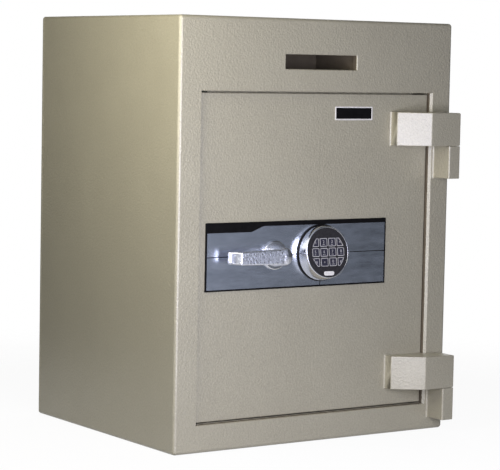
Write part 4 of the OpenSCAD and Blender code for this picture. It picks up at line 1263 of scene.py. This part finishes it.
@dataclass
class Keypad:
    """The keypad: base ring, slanted chrome housing, oval and keys."""

    tilt: float = math.radians(8)
    stand_off: float = 19 * MM
    rim_r: float = 39 * MM
    face_r: float = 37 * MM
    foot_r: float = 41.9 * MM
    sink: float = 0.3 * MM
    pitch_x: float = 15.5 * MM
    pitch_y: float = 14.8 * MM
    key_w: float = 13.9 * MM
    key_h: float = 13.2 * MM
    field_r: float = 29.7 * MM
    corner_r: float = 1.9 * MM
    key_top: float = 1.1 * MM
    key_low: float = -3.7 * MM
    key_edge: float = 0.4 * MM
    # Inset and width of the pale ring, a painted highlight of the key's rounded edge, and the
    # raised height of ring and letters.
    highlight_in: float = 0.35 * MM
    highlight_w: float = 0.85 * MM
    raised_h: float = 0.12 * MM
    digit_size: float = 6.4 * MM
    word_size: float = 2.3 * MM
    digit_up: float = 1.0 * MM
    word_down: float = 3.4 * MM
    oval_h: float = 6.4 * MM
    oval_t: float = 0.4 * MM
    oval_edge: float = 0.25 * MM
    oval_round: float = 0.999
    base_edge: float = 0.8 * MM
    crown: float = 0.3 * MM
    crown_rings: tuple[float, float, int] = (0.08, 0.93, 9)
    rim_edge: float = 0.9 * MM
    bore_edge: float = 0.4 * MM
    bore_deep: float = 3 * MM
    bore_ledge: float = 2 * MM
    foot_wall: float = 3 * MM
    segments: int = 128
    columns: int = 4
    figure_shift: float = 0.5
    font_steps: int = 3
    mid: Vector = field(init=False)
    base_y: float = field(init=False)
    centre: np.ndarray = field(init=False)
    names: Sequence[str] = (
        "1", "2", "3", "4", "5", "6", "7", "8", "9", "star", "0", "hash",
    )
    words: Sequence[str] = (
        "", "ABC", "DEF", "", "JKL", "MNO", "PRS", "TUV", "", "", "OPER", "",
    )

    def build(self) -> None:
        """Finds the middle of the tilted face, then makes every part of the keypad."""
        lo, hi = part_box("keypad_base")
        self.mid = (lo + hi) / 2
        self.base_y = lo.y
        rise = (self.stand_off - (hi.y - lo.y)) * math.tan(self.tilt)
        self.centre = np.array([self.mid.x, hi.y - self.stand_off, self.mid.z + rise])
        self.base(hi.y, (hi.x - lo.x) / 2)
        self.housing()
        self.oval()
        for i, (name, word) in enumerate(zip(self.names, self.words)):
            self.key(name, word, i % self.columns, i // self.columns)

    def on_face(self, points: np.ndarray) -> np.ndarray:
        """Maps (u, v, w) of the tilted face to X, Y, Z.

        With tilt t, a point lies at the face's centre plus (u, v sin t - w cos t,
        v cos t + w sin t).

        Args:
            points: array whose last axis holds u, v and w; w points out of the face.

        Returns:
            An array of the same shape, in the frame's axes.
        """
        s, c = math.sin(self.tilt), math.cos(self.tilt)
        u, v, w = points[..., 0], points[..., 1], points[..., 2]
        return self.centre + np.stack([u, v * s - w * c, v * c + w * s], axis=-1)

    def base(self, back_y: float, radius: float) -> None:
        """Makes the black base ring.

        Args:
            back_y: Y of its back.
            radius: its outer radius.
        """
        deep, soft = back_y - self.base_y, self.base_edge
        rim = arc((radius - soft, deep - soft), soft, 0, 90, 4)
        profile = np.concatenate([[[0, 0], [radius, 0]], rim, [[0, deep]]])
        skin = Skin()
        skin.turned(profile, facing(self.mid.x, back_y, self.mid.z))
        skin.fit("base_ring", [BLACK], "door", "black_plastic", "keypad_base")

    def housing(self) -> None:
        """Makes the chrome housing as rings that tilt and narrow from the base to the rim.

        At share s the ring's centre and tilt are s of the way to the face, and its radius is a
        straight taper plus 4 s (1 - s) times the crown's height.
        """
        turn = np.linspace(0, 2 * math.pi, self.segments, endpoint=False)

        def ring(radius: float, share: float, lift: float = 0.0) -> np.ndarray:
            """One ring at a share of the way, lifted along its own axis.

            Args:
                radius: radius of the ring.
                share: share of the way from the base to the face.
                lift: how far it lies above its place.

            Returns:
                The ring's points.
            """
            tilt = self.tilt * share
            start = np.array([self.mid.x, self.base_y, self.mid.z])
            out = np.array([0, -math.cos(tilt), math.sin(tilt)])
            mid = start + (self.centre - start) * share + out * lift
            up = np.array([0, math.sin(tilt), math.cos(tilt)])
            across = np.array([1.0, 0, 0])
            return mid + radius * (np.cos(turn)[:, None] * across + np.sin(turn)[:, None] * up)

        rings = [ring(self.foot_r, 0.0)]
        for share in np.linspace(*self.crown_rings):
            crown = self.crown * 4 * share * (1 - share)
            rings.append(ring(self.foot_r + (self.rim_r - self.foot_r) * share + crown, share))
        drop, back = quarter_round(self.rim_edge, 5)
        rings += [ring(self.rim_r - b, 1.0, -d) for d, b in zip(drop, back)]
        drop, back = quarter_round(self.bore_edge, 3)
        rings += [ring(self.face_r + b, 1.0, -d) for d, b in zip(drop[::-1], back[::-1])]
        floor = -self.sink - self.bore_deep
        rings.append(ring(self.face_r, 1.0, floor))
        rings.append(ring(self.face_r - self.bore_ledge, 1.0, floor))
        rings.append(ring(self.foot_r - self.foot_wall, 0.0))
        skin = Skin()
        skin.grid(np.stack(rings), wrap_rows=True)
        skin.fit("housing_shell", [CHROME], "door", "polished_chrome", "keypad_housing")

    def oval(self) -> None:
        """Makes the bare oval below the keys."""
        lo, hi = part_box("keypad_oval")
        half = (hi.x - lo.x) / 2
        drop = (self.centre[2] - (lo.z + hi.z) / 2) / math.cos(self.tilt)
        low, high = -drop - self.oval_h / 2, -drop + self.oval_h / 2
        loop = rounded_rect((-half, low), (half, high), self.oval_h / 2 * self.oval_round, 10)
        skin = Skin()
        depth = (-self.sink, -self.sink + self.oval_t)
        skin.prism([(loop, 0.0, self.oval_edge)], depth, self.on_face)
        skin.fit("oval_plate", [PALE], "door", "pale_plastic", "keypad_oval")

    def outline(self, col: int, row: int) -> np.ndarray:
        """Outline of a key: a rectangle cut to the field's circle, with round corners.

        Args:
            col: column from the left.
            row: row from the top.

        Returns:
            The outline's points on the face.
        """
        middle_col = (self.columns - 1) / 2
        mid = np.array([(col - middle_col) * self.pitch_x, (1 - row) * self.pitch_y])
        signs = np.array([[1, -1], [1, 1], [-1, 1], [-1, -1]])
        box = mid + signs * np.array([self.key_w, self.key_h]) / 2
        return fillet(clip_to_circle(box, self.field_r), self.corner_r)

    def key(self, name: str, word: str, col: int, row: int) -> None:
        """Makes one key with a pale ring, painted highlight of its rounded edge, and with its
        figure and its small letters.

        Args:
            name: name of the key's node after key_.
            word: small letters under the figure.
            col: column from the left.
            row: row from the top.
        """
        loop = self.outline(col, row)
        skin = Skin()
        skin.prism([(loop, 0.0, self.key_edge)], (self.key_low, self.key_top), self.on_face)
        top, low = self.key_top + self.raised_h, self.key_top - self.raised_h
        # A pale ring just inside the key's edge: painted highlight of its rounded edge.
        near, far = self.highlight_in, self.highlight_in + self.highlight_w
        rings = inset_rings(loop, (near, near, far, far), (low, top, top, low))
        skin.grid(self.on_face(rings), wrap_rows=True, slot=1)
        sign = {"star": "*", "hash": "#"}.get(name, name)
        middle = (loop.min(0) + loop.max(0)) / 2
        middle = middle + (loop.mean(0) - middle) * self.figure_shift
        up = self.digit_up if word else 0.0
        self.letters(skin, sign, self.digit_size, middle + np.array([0, up]), top)
        if word:
            self.letters(skin, word, self.word_size, middle - np.array([0, self.word_down]), top)
        node = f"key_{name}"
        skin.fit(node + "_cap", [KEY, KEY_EDGE_HIGHLIGHT, FIGURE], node, "key_plastic", node)

    def letters(self, skin: Skin, text: str, size: float, middle: np.ndarray, top: float) -> None:
        """Adds raised letters, taken from Blender's own font as a mesh.

        Args:
            skin: where their faces go.
            text: the letters.
            size: size of the font.
            middle: their place on the face.
            top: height of their top above the face's plane.
        """
        curve = bpy.data.curves.new("letters", "FONT")
        curve.body = text
        curve.size = size
        curve.extrude = self.raised_h
        curve.resolution_u = self.font_steps
        holder = bpy.data.objects.new("letters", curve)
        bpy.context.scene.collection.objects.link(holder)
        bpy.context.view_layer.update()
        shown = holder.evaluated_get(bpy.context.evaluated_depsgraph_get())
        mesh = bpy.data.meshes.new_from_object(shown)
        points = np.empty(len(mesh.vertices) * 3)
        mesh.vertices.foreach_get("co", points)
        points = points.reshape(-1, 3)
        faces = [list(p.vertices) for p in mesh.polygons]
        centre = (points.min(0) + points.max(0)) / 2
        points = points - centre + np.array([middle[0], middle[1], top - self.raised_h])
        skin.add(self.on_face(points), faces, slot=2)
        bpy.data.objects.remove(holder)
        bpy.data.curves.remove(curve)
        bpy.data.meshes.remove(mesh)


@dataclass
class Innards:
    """The plain steel parts of lock, boltwork and shell, with their edges broken."""

    flat_angle: float = math.radians(1)
    edge_angle: float = math.radians(40)
    edge_steps: int = 3
    widths: dict[str, float] = field(
        default_factory=lambda: {
            "back_plate": 1.5 * MM,
            "door_cover": 1.2 * MM,
            "bolt_guide": 0.6 * MM,
            "bolt_bar": 0.8 * MM,
            "bolt_arm": 0.5 * MM,
            "lock_bolts": 1.6 * MM,
            "bolt_screws": 0.6 * MM,
            "dog_bar": 0.8 * MM,
            "lock_case": 0.4 * MM,
            "lock_cover": 0.5 * MM,
            "cam_disc": 0.6 * MM,
            "swing_bolt": 0.5 * MM,
            "battery_cell": 1.0 * MM,
            "lock_motor": 0.8 * MM,
            "cover_screws": 0.5 * MM,
            "lock_screws": 0.5 * MM,
            "door_stops": 0.8 * MM,
        }
    )

    def build(self, frame: dict) -> None:
        """Makes a copy of each part whose hard edges are rounded.
        """
        slots = {row["node"]: row["material_slot"] for row in frame["record"]["subparts"]}
        for body, members in frame["record"]["behaviour"]["bodies"].items():
            for node in members:
                if node in self.widths:
                    made = self.soften(frame["nodes"][node], self.widths[node])
                    dress(made, body, slots[node], node)

    def soften(self, source: bpy.types.Object, width: float) -> bpy.types.Object:
        """Copies a CAD part, joins its triangles into flats and rounds its hard edges.

        Args:
            source: the CAD part.
            width: width of the rounding.

        Returns:
            The new piece.
        """
        work = bmesh.new()
        work.from_mesh(source.data)
        bmesh.ops.remove_doubles(work, verts=work.verts, dist=MERGE)
        bmesh.ops.dissolve_limit(
            work,
            angle_limit=self.flat_angle,
            verts=work.verts,
            edges=work.edges,
            delimit={"NORMAL"},
        )
        mesh = bpy.data.meshes.new(source.name + "_piece")
        work.to_mesh(mesh)
        work.free()
        mesh.materials.append(source.data.materials[0])
        obj = bpy.data.objects.new(source.name + "_piece", mesh)
        bpy.context.scene.collection.objects.link(obj)
        bevel = obj.modifiers.new("round_edges", "BEVEL")
        bevel.limit_method = "ANGLE"
        bevel.angle_limit = self.edge_angle
        bevel.width = width
        bevel.segments = self.edge_steps
        finish_shading(obj)
        return obj


@dataclass(frozen=True)
class Softbox:
    """A square area lamp: its name, place, power in watts and colour."""

    name: str
    at: tuple[float, float, float]
    power: float
    colour: Colour
    side: float = 0.6

    def build(self, aim: tuple[float, float, float]) -> None:
        """Makes the lamp, hidden from the camera.

        Args:
            aim: the point that it faces.
        """
        data = bpy.data.lights.new(self.name, "AREA")
        data.shape = "SQUARE"
        data.size = self.side
        data.energy = self.power
        data.color = self.colour
        obj = bpy.data.objects.new(self.name, data)
        obj.location = self.at
        obj.visible_camera = False
        turn = (Vector(aim) - Vector(self.at)).to_track_quat("-Z", "Y")
        obj.rotation_euler = turn.to_euler()
        bpy.context.scene.collection.objects.link(obj)


@dataclass
class Studio:
    """Pale floor, soft light, and the camera at the photograph's viewing angle."""

    eye: tuple[float, float, float] = (-1.792775, -2.657670, 0.564747)
    yaw: float = math.radians(34.2363)
    pitch: float = math.radians(-4.7767)
    roll: float = math.radians(1.1352)
    focal_px: float = 2031.44
    aim: tuple[float, float, float] = (0.0, -0.1, 0.33)
    lamps: Sequence[Softbox] = (
        Softbox("high_softbox", (-0.618, -0.302, 0.693), 4.66, (1.0, 0.958, 0.832)),
        Softbox("low_softbox", (-0.429, -1.184, 0.369), 14.2, (0.784, 0.796, 1.0)),
    )
    floor_r: float = 1.3
    floor_rings: tuple[float, ...] = (0.0, 0.25, 0.5, 1.0)
    floor_segments: int = 64
    floor_fade: tuple[float, float] = (0.55, 1.2)
    floor_rough: float = 0.9
    floor_cloud: float = 6.0
    floor_tones: tuple[float, float] = (0.93, 0.96)
    floor_glow: float = 0.93
    floor_sheen: float = 0.45
    floor_bounce: float = 0.06
    bright_way: tuple[float, float, float] = (-0.8, -0.6, 0.0)
    bright_edge: tuple[float, float] = (-0.04, 0.22)
    bright_room: Colour = (0.53, 0.58, 0.70)
    dark_room: Colour = (0.040, 0.043, 0.044)
    backdrop_edge: tuple[float, float] = (0.86, 0.95)
    back_way: tuple[float, float, float] = (0.707, 0.707, 0.0)
    back_edge: tuple[float, float] = (0.5, 0.95)
    front_fill: float = 0.02
    back_fill: float = 2.6

    def build(self) -> None:
        """Makes camera, floor, world and lamps."""
        self.camera()
        self.floor()
        self.world()
        for lamp in self.lamps:
            lamp.build(self.aim)

    def camera(self) -> None:
        """Makes the camera from yaw, pitch and roll, with the photograph's focal length."""
        a, b, c = self.yaw, self.pitch, self.roll
        ahead = Vector((math.sin(a) * math.cos(b), math.cos(a) * math.cos(b), math.sin(b)))
        right = Vector((math.cos(a), -math.sin(a), 0.0))
        up = right.cross(ahead)
        turned_right = math.cos(c) * right + math.sin(c) * up
        turned_up = -math.sin(c) * right + math.cos(c) * up
        data = bpy.data.cameras.new("camera")
        data.sensor_fit = "HORIZONTAL"
        data.sensor_width = SENSOR
        data.lens = self.focal_px / IMAGE_W * SENSOR
        obj = bpy.data.objects.new("camera", data)
        turn = Matrix((turned_right, turned_up, -ahead)).transposed().to_4x4()
        obj.matrix_world = Matrix.Translation(self.eye) @ turn
        bpy.context.scene.collection.objects.link(obj)
        bpy.context.scene.camera = obj

    def floor(self) -> None:
        """Makes a round floor that keeps the safe's shadow and fades out further away."""
        radius = self.floor_r * np.array(self.floor_rings)
        profile = np.stack([radius, np.zeros(len(radius))], axis=-1)
        skin = Skin()
        skin.turned(profile, place_along(Along.Z), segments=self.floor_segments)
        made = bpy.data.materials.new("pale_floor")
        made.use_nodes = True
        graph = Graph(made.node_tree)
        where = graph.node("ShaderNodeTexCoord").outputs["Object"]
        far = graph.node("ShaderNodeVectorMath", {0: where}, operation="LENGTH").outputs["Value"]
        path = graph.node("ShaderNodeLightPath").outputs
        mirrored = graph.maths("MAXIMUM", path["Is Glossy Ray"], path["Is Transmission Ray"])
        seen = graph.maths("MAXIMUM", path["Is Camera Ray"], mirrored)
        grain = graph.group(Groups.mottle(), Scale=self.floor_cloud)
        pale = graph.blend(grain, *map(grey, self.floor_tones))
        tone = graph.blend(seen, grey(self.floor_bounce), pale)
        matt = graph.node(
            "ShaderNodeBsdfPrincipled", {"Base Color": tone, "Roughness": self.floor_rough}
        )
        glow = graph.node("ShaderNodeEmission", {"Color": grey(1.0), "Strength": 1.0})
        straight = graph.maths("MULTIPLY", path["Is Camera Ray"], self.floor_glow)
        sheen = graph.maths("MULTIPLY", mirrored, self.floor_sheen)
        share = graph.maths("MAXIMUM", straight, sheen)
        clear = graph.node("ShaderNodeBsdfTransparent")
        surface = matt
        for part, other in ((share, glow), (graph.ramp(far, self.floor_fade), clear)):
            mixed = {0: part, 1: surface.outputs[0], 2: other.outputs[0]}
            surface = graph.node("ShaderNodeMixShader", mixed)
        graph.node("ShaderNodeOutputMaterial", {"Surface": surface.outputs[0]})
        floor = skin.build("floor", [made])

    def world(self) -> None:
        """Makes the room: white to the camera, a white backdrop and a dim studio in reflections.

        The studio's brightness is a smooth step of the ray's part along the bright way. The
        backdrop fills the directions near the camera's own view of the safe.
        """
        world = bpy.data.worlds.new("studio")
        bpy.context.scene.world = world
        world.use_nodes = True
        graph = Graph(world.node_tree)
        way = graph.node("ShaderNodeTexCoord").outputs["Generated"]
        path = graph.node("ShaderNodeLightPath").outputs

        def part(axis: tuple[float, float, float]) -> bpy.types.NodeSocket:
            """The ray's part along an axis."""
            node = graph.node("ShaderNodeVectorMath", {0: way, 1: axis}, operation="DOT_PRODUCT")
            return node.outputs["Value"]

        share = graph.ramp(part(self.bright_way), self.bright_edge)
        room = graph.blend(share, (*self.dark_room, 1), (*self.bright_room, 1))
        ahead = part((math.sin(self.yaw), math.cos(self.yaw), 0.0))
        backdrop = graph.ramp(ahead, self.backdrop_edge)
        sharp = graph.maths("MAXIMUM", path["Is Glossy Ray"], path["Is Transmission Ray"])
        backed = graph.blend(backdrop, room, grey(1.0))
        behind = graph.ramp(part(self.back_way), self.back_edge)
        dim = graph.blend(behind, grey(self.front_fill), grey(self.back_fill))
        lit = graph.blend(sharp, dim, backed)
        colour = graph.blend(path["Is Camera Ray"], lit, grey(1.0))
        back = graph.node("ShaderNodeBackground", {"Color": colour, "Strength": 1.0})
        graph.node("ShaderNodeOutputWorld", {"Surface": back.outputs["Background"]})


def paint_nodes(frame: dict) -> None:
    """Gives every CAD node the finish of its material slot.
    """
    slots = {row["node"]: row["material_slot"] for row in frame["record"]["subparts"]}
    for name, obj in frame["nodes"].items():
        finish = NODE_FINISH.get(name, SLOT_FINISH[slots[name]])
        obj.data.materials.clear()
        obj.data.materials.append(finish.material())


def main() -> None:
    """Builds the scene in order."""
    logging.basicConfig(level=logging.INFO, format="%(name)s: %(message)s")
    for obj in list(bpy.data.objects):
        bpy.data.objects.remove(obj)
    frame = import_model()
    bpy.context.scene.view_settings.view_transform = "Standard"
    paint_nodes(frame)
    Studio().build()
    Cabinet().build()
    Hinges().build()
    DoorLeaf().build()
    TrimSeamShade().build()
    Handle().build()
    Keypad().build()
    Innards().build(frame)


if __name__ == "__main__":
    main()
